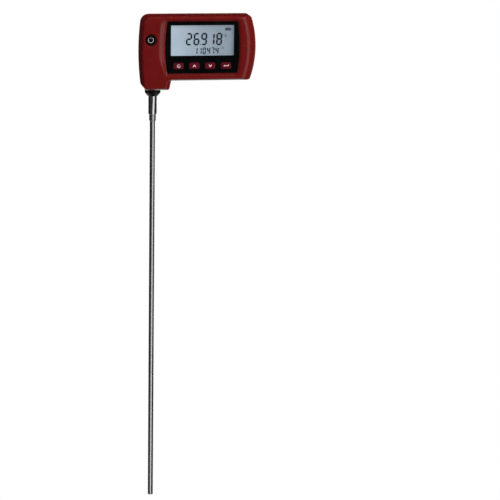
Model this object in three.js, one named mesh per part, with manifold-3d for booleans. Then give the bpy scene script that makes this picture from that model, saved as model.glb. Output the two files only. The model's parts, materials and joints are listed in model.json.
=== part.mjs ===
// Soil thermometer probe: a hand-held digital read-out head on a long stainless stem.
// Millimetres, +Z up. Origin: centre of the flat end face of the stem. The stem's axis is Z,
// the display looks along -Y, and the head reaches out along +X.
// So left is -X, right is +X, front is -Y and back is +Y.
// Head and gland have their own frames, with z = 0 at the underside of the boss on the stem.
import * as THREE from 'three';
import { mergeVertices } from 'three/addons/utils/BufferGeometryUtils.js';
import Module from 'manifold-3d';

const wasm = await Module();
wasm.setup();

// ---------------------------------------------------------------- driving dimensions
// A rectangle seen from the front is [left, right, bottom, top].
const grow = ([left, right, bottom, top], by) => [left - by, right + by, bottom - by, top + by];
const rectAt = (x, z, width, height) =>
  [x - width / 2, x + width / 2, z - height / 2, z + height / 2];

const ROUND_STEPS = 24;
const HEAD_Z = 517.5;       // underside of the boss, above the stem's end
const STEM_X = 1.4;         // stem's axis in the head's frame
const HEAD_H = 88;          // boss underside to the top of the head
const SHELF_Z = 11.1;       // underside of the display part
const SEAM_Y = 1;           // plane where the two covers meet
const SEAM_GAP = 0.05;
const FACE_Y = -22;         // front face of the front cover
const BACK_Y = 17;          // back of the rear cover and of the battery cover
const FIT = 0.06;           // radial gap of parts that slide over the stem or hub

const SHEATH = { r: 3.175, wall: 0.5, top: 500 };
const HUB = { r: 5.05, boreR: 4.15, bottom: 486, top: 527.5 };
const HUB_GROOVE = { depth: 0.45, bottom: 524.05, top: 525.15 };
const FERRULE = { r: 4.05, bottom: 478, top: 498 };
const WIRE = { r: 0.3, offset: 0.85, bottom: 33.5, top: 529 };
const GLAND = { neckR: 7.6, flangeR: 9.5, flangeBottom: 2.62, top: 5.5 };
const COLLAR_R = 9.45;

const BEZEL = {
  left: 13.4, right: 102.3, bottom: 20.6, top: 82,
  bowRadius: 185, bowZ: 51.3, front: -20, back: -19, gap: 0.15,
};
const BORDER = { left: 6, rest: 3, back: -19.95 };  // widths of the slope round the bezel
const WINDOW = [20.2, 95.9, 41.4, 77.6];
const KEY = { xs: [29.4, 48.4, 67.5, 86.7], z: 29.2, width: 12.4, height: 7.9, corner: 1.4 };
const POWER = { x: -4, z: 60.4, r: 6.1 };
const BOARD = { front: -8.4, back: -6.8 };
const PLUNGER_BACK = -9.85; // back end of the stalks on the keys and power button

const CELL = { r: 5.25, left: 38, right: 82, y: 9, zs: [34, 45.5, 57] };
const BAY = [28.9, 88.1, 26.4, 64.6];               // outside of the battery bay wall
const BAY_INSIDE = grow(BAY, -1.6);
const DOOR = [21, 96, 24.5, 66.5];
const DOOR_GAP = 0.15;
const DOOR_SEAT_CORNER = 3;
const DOOR_Z = (DOOR[2] + DOOR[3]) / 2;
const DOOR_SCREW_XS = [25.5, 91.5];
// housing screws: [x, z]
const SCREWS = [[-5.5, 78.5], [112.3, 77.5], [112.3, 21.5], [26, 18], [-8.2, 22]];

// ---------------------------------------------------------------- meshes and solids
// Welds vertices, drops collapsed triangles and turns the faces outward.
function tidy(geometry) {
  const bare = new THREE.BufferGeometry();
  bare.setAttribute('position', geometry.getAttribute('position').clone());
  if (geometry.index) bare.setIndex(geometry.index.clone());
  const welded = mergeVertices(bare, 1e-4);
  const index = welded.index.array;
  const corners = [0, 1, 2].map(() => new THREE.Vector3());
  const kept = [];
  let volume = 0;
  for (let i = 0; i < index.length; i += 3) {
    const triangle = [index[i], index[i + 1], index[i + 2]];
    if (new Set(triangle).size < 3) continue;
    kept.push(...triangle);
    corners.forEach((p, k) => p.fromBufferAttribute(welded.attributes.position, triangle[k]));
    volume += corners[0].dot(corners[1].cross(corners[2]));
  }
  if (volume < 0) {
    for (let i = 0; i < kept.length; i += 3) [kept[i], kept[i + 1]] = [kept[i + 1], kept[i]];
  }
  welded.setIndex(kept);
  return welded;
}
function solid(shape) {
  if (!(shape instanceof THREE.BufferGeometry)) return shape;
  const mesh = tidy(shape);
  return new wasm.Manifold(new wasm.Mesh({
    numProp: 3,
    vertProperties: new Float32Array(mesh.attributes.position.array),
    triVerts: new Uint32Array(mesh.index.array),
  }));
}
function geometryOf(manifold) {
  const mesh = manifold.getMesh();
  const positions = new Float32Array(mesh.numVert * 3);
  for (let i = 0; i < mesh.numVert; i++) {
    for (let k = 0; k < 3; k++) {
      positions[i * 3 + k] = mesh.vertProperties[i * mesh.numProp + k];
    }
  }
  const geometry = new THREE.BufferGeometry();
  geometry.setAttribute('position', new THREE.BufferAttribute(positions, 3));
  geometry.setIndex([...mesh.triVerts]);
  return geometry;
}
const cut = (body, ...tools) => tools.reduce((rest, tool) => rest.subtract(solid(tool)), solid(body));
const join = (body, ...parts) => parts.reduce((sum, part) => sum.add(solid(part)), solid(body));

// ---------------------------------------------------------------- basic shapes
// Profiles are [radius, height along the axis]; one that starts off the axis is closed.
function lathe(profile, steps) {
  const points = profile.map(([radius, height]) => new THREE.Vector2(radius, height));
  if (profile[0][0] !== 0) points.push(points[0].clone());
  return new THREE.LatheGeometry(points, steps);
}
const turnedZ = (profile, steps = ROUND_STEPS) => lathe(profile, steps).rotateX(Math.PI / 2);
const turnedY = (profile, x, z, steps = ROUND_STEPS) => lathe(profile, steps).translate(x, 0, z);
const rodProfile = (radius, start, end) => [[0, start], [radius, start], [radius, end], [0, end]];
const rodZ = (radius, bottom, top, { x = 0, y = 0, steps } = {}) =>
  turnedZ(rodProfile(radius, bottom, top), steps).translate(x, y, 0);
const rodY = (radius, front, back, x, z, steps) =>
  turnedY(rodProfile(radius, front, back), x, z, steps);
const rodX = (radius, left, right, y, z, steps) =>
  new THREE.CylinderGeometry(radius, radius, right - left, steps)
    .rotateZ(Math.PI / 2)
    .translate((left + right) / 2, y, z);
const tubeZ = (outerR, innerR, bottom, top, steps) =>
  turnedZ([[innerR, bottom], [outerR, bottom], [outerR, top], [innerR, top]], steps);
const box = ([left, right, bottom, top], front, back) =>
  new THREE.BoxGeometry(right - left, back - front, top - bottom)
    .translate((left + right) / 2, (front + back) / 2, (bottom + top) / 2);

const shapeOf = (points) => new THREE.Shape(points.map(([x, z]) => new THREE.Vector2(x, z)));
// Each corner arc becomes two chords.
function roundedRect([left, right, bottom, top], radius) {
  const shape = new THREE.Shape();
  shape.moveTo(left + radius, bottom);
  shape.lineTo(right - radius, bottom);
  shape.absarc(right - radius, bottom + radius, radius, -Math.PI / 2, 0, false);
  shape.lineTo(right, top - radius);
  shape.absarc(right - radius, top - radius, radius, 0, Math.PI / 2, false);
  shape.lineTo(left + radius, top);
  shape.absarc(left + radius, top - radius, radius, Math.PI / 2, Math.PI, false);
  shape.lineTo(left, bottom + radius);
  shape.absarc(left + radius, bottom + radius, radius, Math.PI, Math.PI * 1.5, false);
  return new THREE.Shape(shape.getPoints(1));
}
// flat plate parallel to the face of the head
const plate = (shape, front, back) =>
  new THREE.ExtrudeGeometry(shape, { depth: back - front, bevelEnabled: false })
    .rotateX(Math.PI / 2)
    .translate(0, back, 0);
const slab = (rect, radius, front, back) => plate(roundedRect(rect, radius), front, back);
function frame(rect, width, radius, front, back) {
  const shape = roundedRect(rect, radius);
  const hole = roundedRect(grow(rect, -width), Math.max(radius - width, 0.3));
  shape.holes.push(new THREE.Path(hole.getPoints().reverse()));
  return plate(shape, front, back);
}
// round wire with a polygonal section along a smooth curve
function sweep(points, radius, sides, steps) {
  const section = shapeOf(Array.from({ length: sides }, (_, i) => {
    const angle = i * 2 * Math.PI / sides;
    return [radius * Math.cos(angle), radius * Math.sin(angle)];
  }));
  const extrudePath = new THREE.CatmullRomCurve3(points.map((p) => new THREE.Vector3(...p)));
  return new THREE.ExtrudeGeometry(section, { steps, bevelEnabled: false, extrudePath });
}

// ---------------------------------------------------------------- outlines and lofts
// Outline corners: [x, z, fillet radius, fillet steps, name of the edge that leaves it],
// anticlockwise as seen from the front.
const bow = (x, middle, radius) => (z) => x + (z - middle) ** 2 / (2 * radius);
const bowed = (xAt, start, end, steps, edge) =>
  Array.from({ length: steps - 1 }, (_, i) => {
    const z = start + (end - start) * (i + 1) / steps;
    return [xAt(z), z, 0, 0, edge];
  });
const leftX = bow(-14.8, 44, 309);
const rightX = bow(124.5, 50, -117);
const OUTLINE = [
  [leftX(0), 0, 5.5, 4, 'boss'],
  [18.8, 0, 2.2, 3, 'side'],
  [21.2, SHELF_Z, 1.2, 2, 'shelf'],
  [rightX(SHELF_Z), SHELF_Z, 1.8, 3, 'right'],
  ...bowed(rightX, SHELF_Z, HEAD_H, 7, 'right'),
  [rightX(HEAD_H), HEAD_H, 3.5, 3, 'top'],
  [leftX(HEAD_H), HEAD_H, 9, 5, 'left'],
  ...bowed(leftX, HEAD_H, 0, 6, 'left'),
];
function bezelOutline(by) {
  const leftAt = bow(BEZEL.left - by, BEZEL.bowZ, BEZEL.bowRadius);
  const rightAt = bow(BEZEL.right + by, BEZEL.bowZ, -BEZEL.bowRadius);
  const bottom = BEZEL.bottom - by;
  const top = BEZEL.top + by;
  return [
    [leftAt(bottom), bottom, 2, 3, 'bottom'],
    [rightAt(bottom), bottom, 2, 3, 'right'],
    ...bowed(rightAt, bottom, top, 6, 'right'),
    [rightAt(top), top, 2, 3, 'top'],
    [leftAt(top), top, 2, 3, 'left'],
    ...bowed(leftAt, top, bottom, 6, 'left'),
  ];
}
// Outline with its edges moved inward by `inset` (per edge name, or `all`) and corners filleted.
function ringOf(outline, inset, roundness = 1) {
  const edges = outline.map(([x, z, , , name], i) => {
    const next = outline[(i + 1) % outline.length];
    const length = Math.hypot(next[0] - x, next[1] - z);
    const dx = (next[0] - x) / length;
    const dz = (next[1] - z) / length;
    const shift = inset[name] ?? inset.all;
    return { dx, dz, x: x - dz * shift, z: z + dx * shift };
  });
  return outline.flatMap(([, , fillet, steps], i) => {
    const edge = edges[i];
    const last = edges.at(i - 1);
    const cross = last.dx * edge.dz - last.dz * edge.dx;
    if (Math.abs(cross) < 1e-5) return [[edge.x, edge.z]];
    const along = ((edge.x - last.x) * edge.dz - (edge.z - last.z) * edge.dx) / cross;
    if (!fillet) return [[last.x + last.dx * along, last.z + last.dz * along]];
    const side = Math.sign(cross);
    const angle = Math.atan2(Math.abs(cross), last.dx * edge.dx + last.dz * edge.dz);
    const radius = Math.max(fillet * roundness, 0.4);
    const start = along - radius * Math.tan(angle / 2);
    // spoke from the fillet's centre to its first point
    const spokeX = last.dz * radius * side;
    const spokeZ = -last.dx * radius * side;
    const centreX = last.x + last.dx * start - spokeX;
    const centreZ = last.z + last.dz * start - spokeZ;
    return Array.from({ length: steps + 1 }, (_, k) => {
      const turn = side * angle * k / steps;
      return [
        centreX + spokeX * Math.cos(turn) - spokeZ * Math.sin(turn),
        centreZ + spokeX * Math.sin(turn) + spokeZ * Math.cos(turn),
      ];
    });
  });
}
// Closed body through rings of equal length; levels are [y, inset, roundness].
function loft(outline, levels) {
  const rings = levels.map(([, inset, roundness]) => ringOf(outline, inset, roundness));
  const count = rings[0].length;
  const positions = rings.flatMap((ring, level) => ring.flatMap(([x, z]) => [x, levels[level][0], z]));
  const index = [];
  for (let level = 0; level + 1 < rings.length; level++) {
    for (let i = 0; i < count; i++) {
      const here = level * count + i;
      const next = level * count + (i + 1) % count;
      index.push(here, next, next + count, here, next + count, here + count);
    }
  }
  for (const level of [0, rings.length - 1]) {
    const points = rings[level].map(([x, z]) => new THREE.Vector2(x, z));
    for (const triangle of THREE.ShapeUtils.triangulateShape(points, [])) {
      if (level === 0) triangle.reverse();
      index.push(...triangle.map((i) => level * count + i));
    }
  }
  const geometry = new THREE.BufferGeometry();
  geometry.setAttribute('position', new THREE.BufferAttribute(new Float32Array(positions), 3));
  geometry.setIndex(index);
  return geometry;
}
const all = (inset) => ({ all: inset });

// ---------------------------------------------------------------- materials
const LOOKS = {
  red: { color: 0x8a1210, roughness: 0.32 },
  black: { color: 0x0b0d10, roughness: 0.2 },
  rubber: { color: 0x141414, roughness: 0.7 },
  steel: { color: 0xb9bcc0, roughness: 0.22, metalness: 1 },
  key: { color: 0x7d0f1c, roughness: 0.45 },
  zinc: { color: 0xa9adb3, roughness: 0.35, metalness: 1 },
  nickel: { color: 0xc9c6bc, roughness: 0.3, metalness: 1 },
  board: { color: 0x1c5a30, roughness: 0.5 },
  chip: { color: 0x17181a, roughness: 0.5 },
  sensor: { color: 0xe8e4d8, roughness: 0.6 },
  redWire: { color: 0xb02018, roughness: 0.5 },
  whiteWire: { color: 0xe6e2da, roughness: 0.5 },
  potting: { color: 0x2a2620, roughness: 0.6 },
  washer: { color: 0xe9e7e0, roughness: 0.5 },
  collar: { color: 0x121213, roughness: 0.5 },
  window: { color: 0xdfe8ec, roughness: 0.05, transparent: true, opacity: 0.25 },
  glass: { color: 0xa9b9c4, roughness: 0.1 },
  backlight: { color: 0xf2f4f6, roughness: 0.4 },
  lcdFrame: { color: 0x22252a, roughness: 0.6 },
  zebra: { color: 0x8d2f6a, roughness: 0.7 },
  socket: { color: 0xe6e0cf, roughness: 0.5 },
  plug: { color: 0xd8d2c0, roughness: 0.5 },
  cable: { color: 0x2b2b2d, roughness: 0.6 },
  battery: { color: 0x3a4a5c, roughness: 0.35, metalness: 0.2 },
  label: { color: 0xc8cacc, roughness: 0.4 },
};

const model = new THREE.Group();
const head = new THREE.Group();
const gland = new THREE.Group();
head.position.set(-STEM_X, 0, HEAD_Z);
gland.position.z = HEAD_Z;
model.add(head, gland);
function add(parent, name, shape, look) {
  const geometry = shape instanceof THREE.BufferGeometry ? tidy(shape) : geometryOf(shape);
  geometry.computeVertexNormals();
  const mesh = new THREE.Mesh(geometry, new THREE.MeshStandardMaterial(LOOKS[look]));
  mesh.name = name;
  parent.add(mesh);
}

// ---------------------------------------------------------------- stem
add(model, 'probe_sheath', tubeZ(SHEATH.r, SHEATH.r - SHEATH.wall, 0, SHEATH.top), 'steel');
add(model, 'tip_plug', rodZ(2.62, 0, 6), 'steel');
add(model, 'sensor_element', rodZ(1.5, 8, 33, { steps: 16 }), 'sensor');
const wireSpots = [[1, 1], [-1, 1], [-1, -1], [1, -1]]
  .map(([x, y]) => ({ x: x * WIRE.offset, y: y * WIRE.offset, steps: 8 }));
wireSpots.forEach((spot, i) => {
  const wire = rodZ(WIRE.r, WIRE.bottom, WIRE.top, spot);
  add(model, `lead_wire_${i + 1}`, wire, i < 2 ? 'redWire' : 'whiteWire');
});
const wireHoles = wireSpots.map((spot) => rodZ(0.5, 499, 510, spot));
add(model, 'potting_plug', cut(rodZ(4.08, 500.6, 508), ...wireHoles), 'potting');
add(model, 'probe_ferrule', turnedZ([
  [SHEATH.r + FIT, FERRULE.bottom + 0.3], [FERRULE.r - 0.5, FERRULE.bottom],
  [FERRULE.r, FERRULE.bottom + 0.5], [FERRULE.r, FERRULE.top], [SHEATH.r + FIT, FERRULE.top],
]), 'steel');
// hub tube with the groove that its retaining ring snaps into
const grooveR = HUB.r - HUB_GROOVE.depth;
add(model, 'probe_hub', turnedZ([
  [HUB.boreR, HUB.bottom], [HUB.r - 0.35, HUB.bottom], [HUB.r, HUB.bottom + 0.35],
  [HUB.r, HUB_GROOVE.bottom], [grooveR, HUB_GROOVE.bottom],
  [grooveR, HUB_GROOVE.top], [HUB.r, HUB_GROOVE.top],
  [HUB.r, HUB.top], [HUB.boreR, HUB.top],
]), 'steel');
add(model, 'thrust_washer', tubeZ(8.6, HUB.r + FIT, 523.1, 523.95, 20), 'washer');
add(model, 'retaining_ring', cut(
  tubeZ(7.4, grooveR + 0.07, HUB_GROOVE.bottom + 0.07, HUB_GROOVE.top - 0.07, 20),
  box([-1.6, 1.6, 523, 526], -9, -3), // opening at the front
), 'zinc');

// ---------------------------------------------------------------- gland between stem and head
// outside from bottom to top, then the groove in the bore for the seal
add(gland, 'gland_body', turnedZ([
  [HUB.r + FIT, -6.5], [6.8, -6.5], [7.2, -6.1], [7.2, -0.1], [GLAND.neckR, -0.1],
  [GLAND.neckR, GLAND.flangeBottom], [GLAND.flangeR, GLAND.flangeBottom],
  [GLAND.flangeR, GLAND.top], [HUB.r + FIT, GLAND.top],
  [HUB.r + FIT, -1.2], [6.4, -1.2], [6.4, -3], [HUB.r + FIT, -3],
]), 'nickel');
add(gland, 'gland_seal', turnedZ([
  [5.16, -2.1], [5.4, -2.65], [5.9, -2.8], [6.33, -2.1], [5.9, -1.4], [5.4, -1.55],
], 20), 'rubber');
add(gland, 'gland_collar', turnedZ([
  [5.25, -9.2], [6.1, -9.2], [6.5, -8.9], [9.1, -5.5], [COLLAR_R, -4.8], [COLLAR_R, -0.7],
  [9.1, -0.25], [7.3, -0.25], [7.3, -6.7], [5.25, -6.7],
]), 'collar');
// stepped bore that both covers leave for the gland
function glandBores() {
  const gap = 0.12;
  const ledge = GLAND.flangeBottom - gap;
  return [
    rodZ(GLAND.neckR + gap, -5, ledge + 0.1, { x: STEM_X }),
    rodZ(GLAND.flangeR + gap, ledge, GLAND.top + gap, { x: STEM_X }),
  ];
}

// ---------------------------------------------------------------- front cover
const bezelShape = (by) => shapeOf(ringOf(bezelOutline(by), all(0)));
const keyRect = (x, by) => grow(rectAt(x, KEY.z, KEY.width, KEY.height), by);
// sloping border round the bezel, carried on past the face
function borderCut() {
  const front = FACE_Y - 0.5;
  const stretch = (BORDER.back - front) / (BORDER.back - FACE_Y);
  const outward = (width) => -(BEZEL.gap + (width - BEZEL.gap) * stretch);
  return loft(bezelOutline(0), [
    [BORDER.back, all(-BEZEL.gap)],
    [front, { left: outward(BORDER.left), all: outward(BORDER.rest) }, 1.6],
  ]);
}
function frontCover() {
  const outside = loft(OUTLINE, [
    [SEAM_Y, all(0)],
    [-9, { all: 0.1, right: 0.7 }, 0.98],
    [-14, { all: 0.2, right: 2.6 }, 0.95],
    [-18, { left: 0.4, top: 0.4, right: 5.8, shelf: 0.7, side: 0.7, boss: 0.5 }, 0.9],
    [-20.6, { left: 1, top: 0.8, right: 9.2, shelf: 1.7, side: 1.7, boss: 1.2 }, 0.8],
    [FACE_Y, { left: 2.4, top: 2, right: 12.6, shelf: 3.4, side: 3.4, boss: 2.8 }, 0.7],
  ]);
  const hollow = loft(OUTLINE, [
    [SEAM_Y + 1, all(2.4), 0.8],
    [-9, { all: 2.5, right: 3.1 }, 0.8],
    [-14, { all: 2.8, right: 5.2 }, 0.8],
    [-17.2, { left: 3.2, top: 3, right: 8.6, shelf: 3.4, side: 3.4, boss: 3.2 }, 0.6],
  ]);
  const shell = cut(
    outside,
    hollow,
    slab([-10.2, 6, 27, 74], 3, -19.7, -17), // pocket inside the face, left of the bezel
    rodY(6.9, -19.7, -17, POWER.x, POWER.z), // room for the power button's flange
  );
  // the posts near the right edge start further back
  const posts = SCREWS.map(([x, z]) =>
    rodY(3, x > 100 ? -16.4 : -17.6, SEAM_Y - SEAM_GAP, x, z, 10));
  const powerOpening = [[0, -23], [8, -23], [7.7, -22], [6.35, -20.9], [6.35, -17], [0, -17]];
  return cut(
    join(shell, ...posts),
    ...SCREWS.map(([x, z]) => rodY(1.45, -9, SEAM_Y + 1, x, z, 8)),
    borderCut(),
    plate(bezelShape(BEZEL.gap), BEZEL.front - 0.05, BEZEL.back + 0.05),
    slab(grow(WINDOW, 1.8), 1, -21, -17.7),  // seat of the window pane
    slab(grow(WINDOW, 0.5), 1, -21, -15),    // opening through the face
    ...KEY.xs.map((x) => slab(keyRect(x, 0.3), KEY.corner, -21, -15)),
    turnedY(powerOpening, POWER.x, POWER.z),
    ...glandBores(),
  );
}
add(head, 'front_cover', frontCover(), 'red');

// ---------------------------------------------------------------- rear cover and housing seal
// band that follows the outline between two insets, left open at the gland
function seamBand(outer, inner, front, back, halfOpening, openingTop) {
  return cut(
    loft(OUTLINE, [[front, all(outer), 0.9], [back, all(outer), 0.9]]),
    loft(OUTLINE, [[front - 1, all(inner), 0.8], [back + 1, all(inner), 0.8]]),
    box([STEM_X - halfOpening, STEM_X + halfOpening, -3, openingTop], -12, 12),
  );
}
function rearCover() {
  const outside = loft(OUTLINE, [
    [SEAM_Y + SEAM_GAP, all(0)],
    [9, all(0.3), 0.98],
    [12.6, all(1.1), 0.92],
    [15.2, all(2.7), 0.8],
    [16.5, all(4.4), 0.7],
    [BACK_Y, all(6.2), 0.6],
  ]);
  const hollow = loft(OUTLINE, [
    [SEAM_Y - 1, all(2.4), 0.8],
    [9, all(2.8), 0.7],
    [14.8, all(5.6), 0.5],
  ]);
  const postBack = 15.2;
  const withBay = cut(join(cut(outside, hollow), box(BAY, 1.6, 15)), box(BAY_INSIDE, 3, 20));
  const withPosts = join(
    withBay,
    ...DOOR_SCREW_XS.map((x) => rodY(3.2, 4, postBack, x, DOOR_Z, 10)),
    ...SCREWS.map(([x, z]) => rodY(3.4, SEAM_Y + SEAM_GAP, postBack, x, z, 10)),
  );
  return cut(
    withPosts,
    slab(grow(DOOR, DOOR_GAP), DOOR_SEAT_CORNER, 15.8, 20),
    frame(grow(BAY, -0.2), 1, 1.5, 15, 20), // groove for the battery cover's seal
    ...DOOR_SCREW_XS.map((x) => rodY(1.3, 6, 18, x, DOOR_Z, 8)),
    ...SCREWS.flatMap(([x, z]) => [rodY(2.8, 12, 20, x, z, 12), rodY(1.45, 0, 13, x, z, 8)]),
    ...glandBores(),
    seamBand(0.8, 1.8, 0.5, 2.1, 9.5, 4),   // groove for the housing seal
  );
}
add(head, 'rear_cover', rearCover(), 'red');
add(head, 'housing_seal', seamBand(0.85, 1.75, 1.05, 2.05, 9.6, 4.1), 'rubber');

// ---------------------------------------------------------------- display stack, front to back
add(head, 'bezel_panel', cut(
  plate(bezelShape(0), BEZEL.front, BEZEL.back),
  slab(WINDOW, 0.8, -21, -18),
  ...KEY.xs.map((x) => slab(keyRect(x, 0.2), KEY.corner + 0.2, -21, -18)),
), 'black');
add(head, 'display_window', slab(grow(WINDOW, 1.6), 0.9, -18.93, -17.75), 'window');
add(head, 'lcd_gasket', frame(grow(WINDOW, 2), 1.6, 1, -17.15, -16.45), 'rubber');
add(head, 'lcd_glass', slab([18.55, 97.55, 39.5, 79.5], 0.3, -16.4, -14.2), 'glass');
add(head, 'backlight_panel', slab([19.6, 96.5, 43, 79.2], 0.3, -14.15, -11.65), 'backlight');
add(head, 'lcd_frame', frame([17.2, 98.9, 38.2, 80.8], 1.1, 0.8, -16.4, -8.45), 'lcdFrame');
add(head, 'zebra_strip', box([24, 92, 39.9, 42.4], -14.15, -8.45), 'zebra');
// board outline [x, z]: display part with a tab to the left behind the power button
const BOARD_OUTLINE = [
  [17, 23], [107, 23], [107, 81], [17, 81], [17, 70], [-9, 70], [-9, 50], [17, 50],
];
add(head, 'circuit_board', plate(shapeOf(BOARD_OUTLINE), BOARD.front, BOARD.back), 'board');
const PARTS_Y = BOARD.back + 0.05;  // front of the parts mounted on the board's back
add(head, 'processor_chip', box([68, 80, 54, 66], PARTS_Y, -5.35), 'chip');
add(head, 'converter_chip', box([24, 34, 55, 62], PARTS_Y, -5.2), 'chip');
add(head, 'lead_socket', box([0, 10, 56, 62], PARTS_Y, -1.6), 'socket');
add(head, 'lead_plug', box([0.6, 9.4, 50.2, 55.9], -6.2, -2.1), 'plug');
// [x, y, z] from the stem's axis up to the plug
const LEAD_PATH = [
  [STEM_X, 0, 14.2], [STEM_X, 0.4, 20], [3.6, 1.5, 29],
  [6.5, -0.5, 38], [5, -4.1, 46], [5, -4.15, 50],
];
add(head, 'lead_cable', sweep(LEAD_PATH, 1.5, 8, 16), 'cable');

// ---------------------------------------------------------------- keys
const matSheet = slab([22, 94.2, 24, 34.6], 1, -10, -8.85);
const matSleeves = KEY.xs.map((x) => rodY(4.3, -14.2, -9.5, x, KEY.z, 12));
const matHoles = KEY.xs.map((x) => rodY(3.5, -16, -8, x, KEY.z, 12));
add(head, 'keypad_mat', cut(join(matSheet, ...matSleeves), ...matHoles), 'rubber');
const domeProfile = (rimR, back) => [[0, -8.98], [1.8, -8.94], [rimR, -8.6], [rimR, back], [0, back]];
add(head, 'dome_sheet', join(
  slab([23, 93.2, 24.6, 34], 0.6, -8.72, -8.45),
  ...KEY.xs.map((x) => turnedY(domeProfile(3, -8.5), x, KEY.z, 10)),
), 'nickel');
add(head, 'power_dome', turnedY(domeProfile(3.2, -8.45), POWER.x, POWER.z, 12), 'nickel');
['key_mode', 'key_up', 'key_down', 'key_enter'].forEach((name, i) => {
  const x = KEY.xs[i];
  const cap = slab(keyRect(x, 0), KEY.corner, -20.9, -16.9);
  const flange = slab(rectAt(x, KEY.z, 14.4, 9.6), 1.2, -17, -16);
  const stalk = rodY(2.2, -16.5, PLUNGER_BACK, x, KEY.z, 10);
  add(head, name, join(cap, flange, stalk), 'key');
});
add(head, 'power_button', turnedY([
  [0, -21.5], [4.4, -21.6], [5.5, -21.45], [POWER.r, -20.9], [POWER.r, -19.6],
  [6.8, -19.6], [6.8, -18.6], [2, -18.6], [2, PLUNGER_BACK], [0, PLUNGER_BACK],
], POWER.x, POWER.z), 'rubber');

// ---------------------------------------------------------------- battery bay
// conical coil between two x positions, its wide end away from the cell
function spring(start, end, z, turns, wideAtEnd) {
  const inset = 0.35;
  const points = Array.from({ length: 19 }, (_, k) => {
    const t = k / 18;
    const angle = t * turns * 2 * Math.PI;
    const radius = 2.2 + 1.6 * (wideAtEnd ? t : 1 - t);
    return [
      start + inset + (end - start - 2 * inset) * t,
      CELL.y + radius * Math.cos(angle),
      z + radius * Math.sin(angle),
    ];
  });
  return sweep(points, 0.3, 5, 24);
}
CELL.zs.forEach((z, i) => {
  const { left, right } = CELL;
  const flipped = i === 1;          // the middle cell has its nub on the left
  const nubSpan = flipped ? [left - 0.9, left + 1] : [right - 1, right + 0.9];
  const can = rodX(CELL.r, left, right, CELL.y, z, 20);
  add(head, `battery_${i + 1}`, join(can, rodX(1.9, ...nubSpan, CELL.y, z, 8)), 'battery');
  const coil = flipped
    ? spring(right + 0.1, right + 3.6, z, 1.6, true)
    : spring(left - 6.3, left - 0.1, z, 2.4, false);
  add(head, `battery_spring_${i + 1}`, coil, 'nickel');
});
add(head, 'contact_plate_left', box([30.7, 31.2, 29.5, 61.5], 4.4, 13.6), 'nickel');
add(head, 'contact_plate_right', box([85.8, 86.3, 29.5, 61.5], 4.4, 13.6), 'nickel');

// ---------------------------------------------------------------- battery cover, screws, label
add(head, 'battery_cover', cut(
  join(
    slab(DOOR, DOOR_SEAT_CORNER - DOOR_GAP, 15.85, BACK_Y),
    slab(grow(BAY_INSIDE, -0.3), 1, 14.6, 15.9),
  ),
  ...DOOR_SCREW_XS.map((x) => rodY(1.35, 14, 20, x, DOOR_Z, 8)),
  ...DOOR_SCREW_XS.map((x) => rodY(2.45, 16.3, 20, x, DOOR_Z, 12)),
  // three grooves across the back
  ...[-2, 0, 2].map((dz) => box(rectAt(58.5, DOOR_Z + dz, 17, 1), 16.6, 20)),
), 'red');
add(head, 'battery_cover_seal', frame(grow(BAY, -0.3), 0.8, 1.4, 15.05, 15.78), 'rubber');

// screw along Y with a cross slot in its rear face; profile is [radius, y]
function crossScrew(profile, x, z, steps, slotWidth, slotFloor) {
  const slotBack = profile.at(-1)[1] + 1;
  return cut(
    turnedY(profile, x, z, steps),
    box(rectAt(x, z, slotWidth, 3), slotFloor, slotBack),
    box(rectAt(x, z, 3, slotWidth), slotFloor, slotBack),
  );
}
const COVER_SCREW = [
  [0, 7], [0.8, 7], [1.12, 7.5], [1.12, 16.35], [2.25, 16.35], [2.25, 16.75], [1.9, 17], [0, 17],
];
const HOUSING_SCREW = [
  [0, -8], [0.9, -8], [1.3, -7.4], [1.3, 12.1], [2.6, 12.1], [2.6, 13.4], [2.1, 14], [0, 14],
];
DOOR_SCREW_XS.forEach((x, i) =>
  add(head, `cover_screw_${i + 1}`, crossScrew(COVER_SCREW, x, DOOR_Z, 12, 0.6, 16.6), 'zinc'));
SCREWS.forEach(([x, z], i) =>
  add(head, `housing_screw_${i + 1}`, crossScrew(HOUSING_SCREW, x, z, 10, 0.7, 13.2), 'zinc'));
add(head, 'rating_label', slab([102, 114, 34, 62], 1.2, BACK_Y + 0.02, BACK_Y + 0.2), 'label');

export default model;
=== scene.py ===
# A probe thermometer standing upright on its tip. The steel probe runs along Z at x = y = 0, with
# its tip near the floor. The red head sits on top: its face with the display and keys looks
# along -Y, the battery door is on +Y, and +X is to the right for someone reading the display.
# Shapes are worked in mm. Inside the head, z is the height above the underside of its boss.
import json
import math
from functools import reduce

import bpy
import numpy as np
from mathutils import Matrix, Quaternion, Vector
from mathutils.geometry import tessellate_polygon

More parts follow.
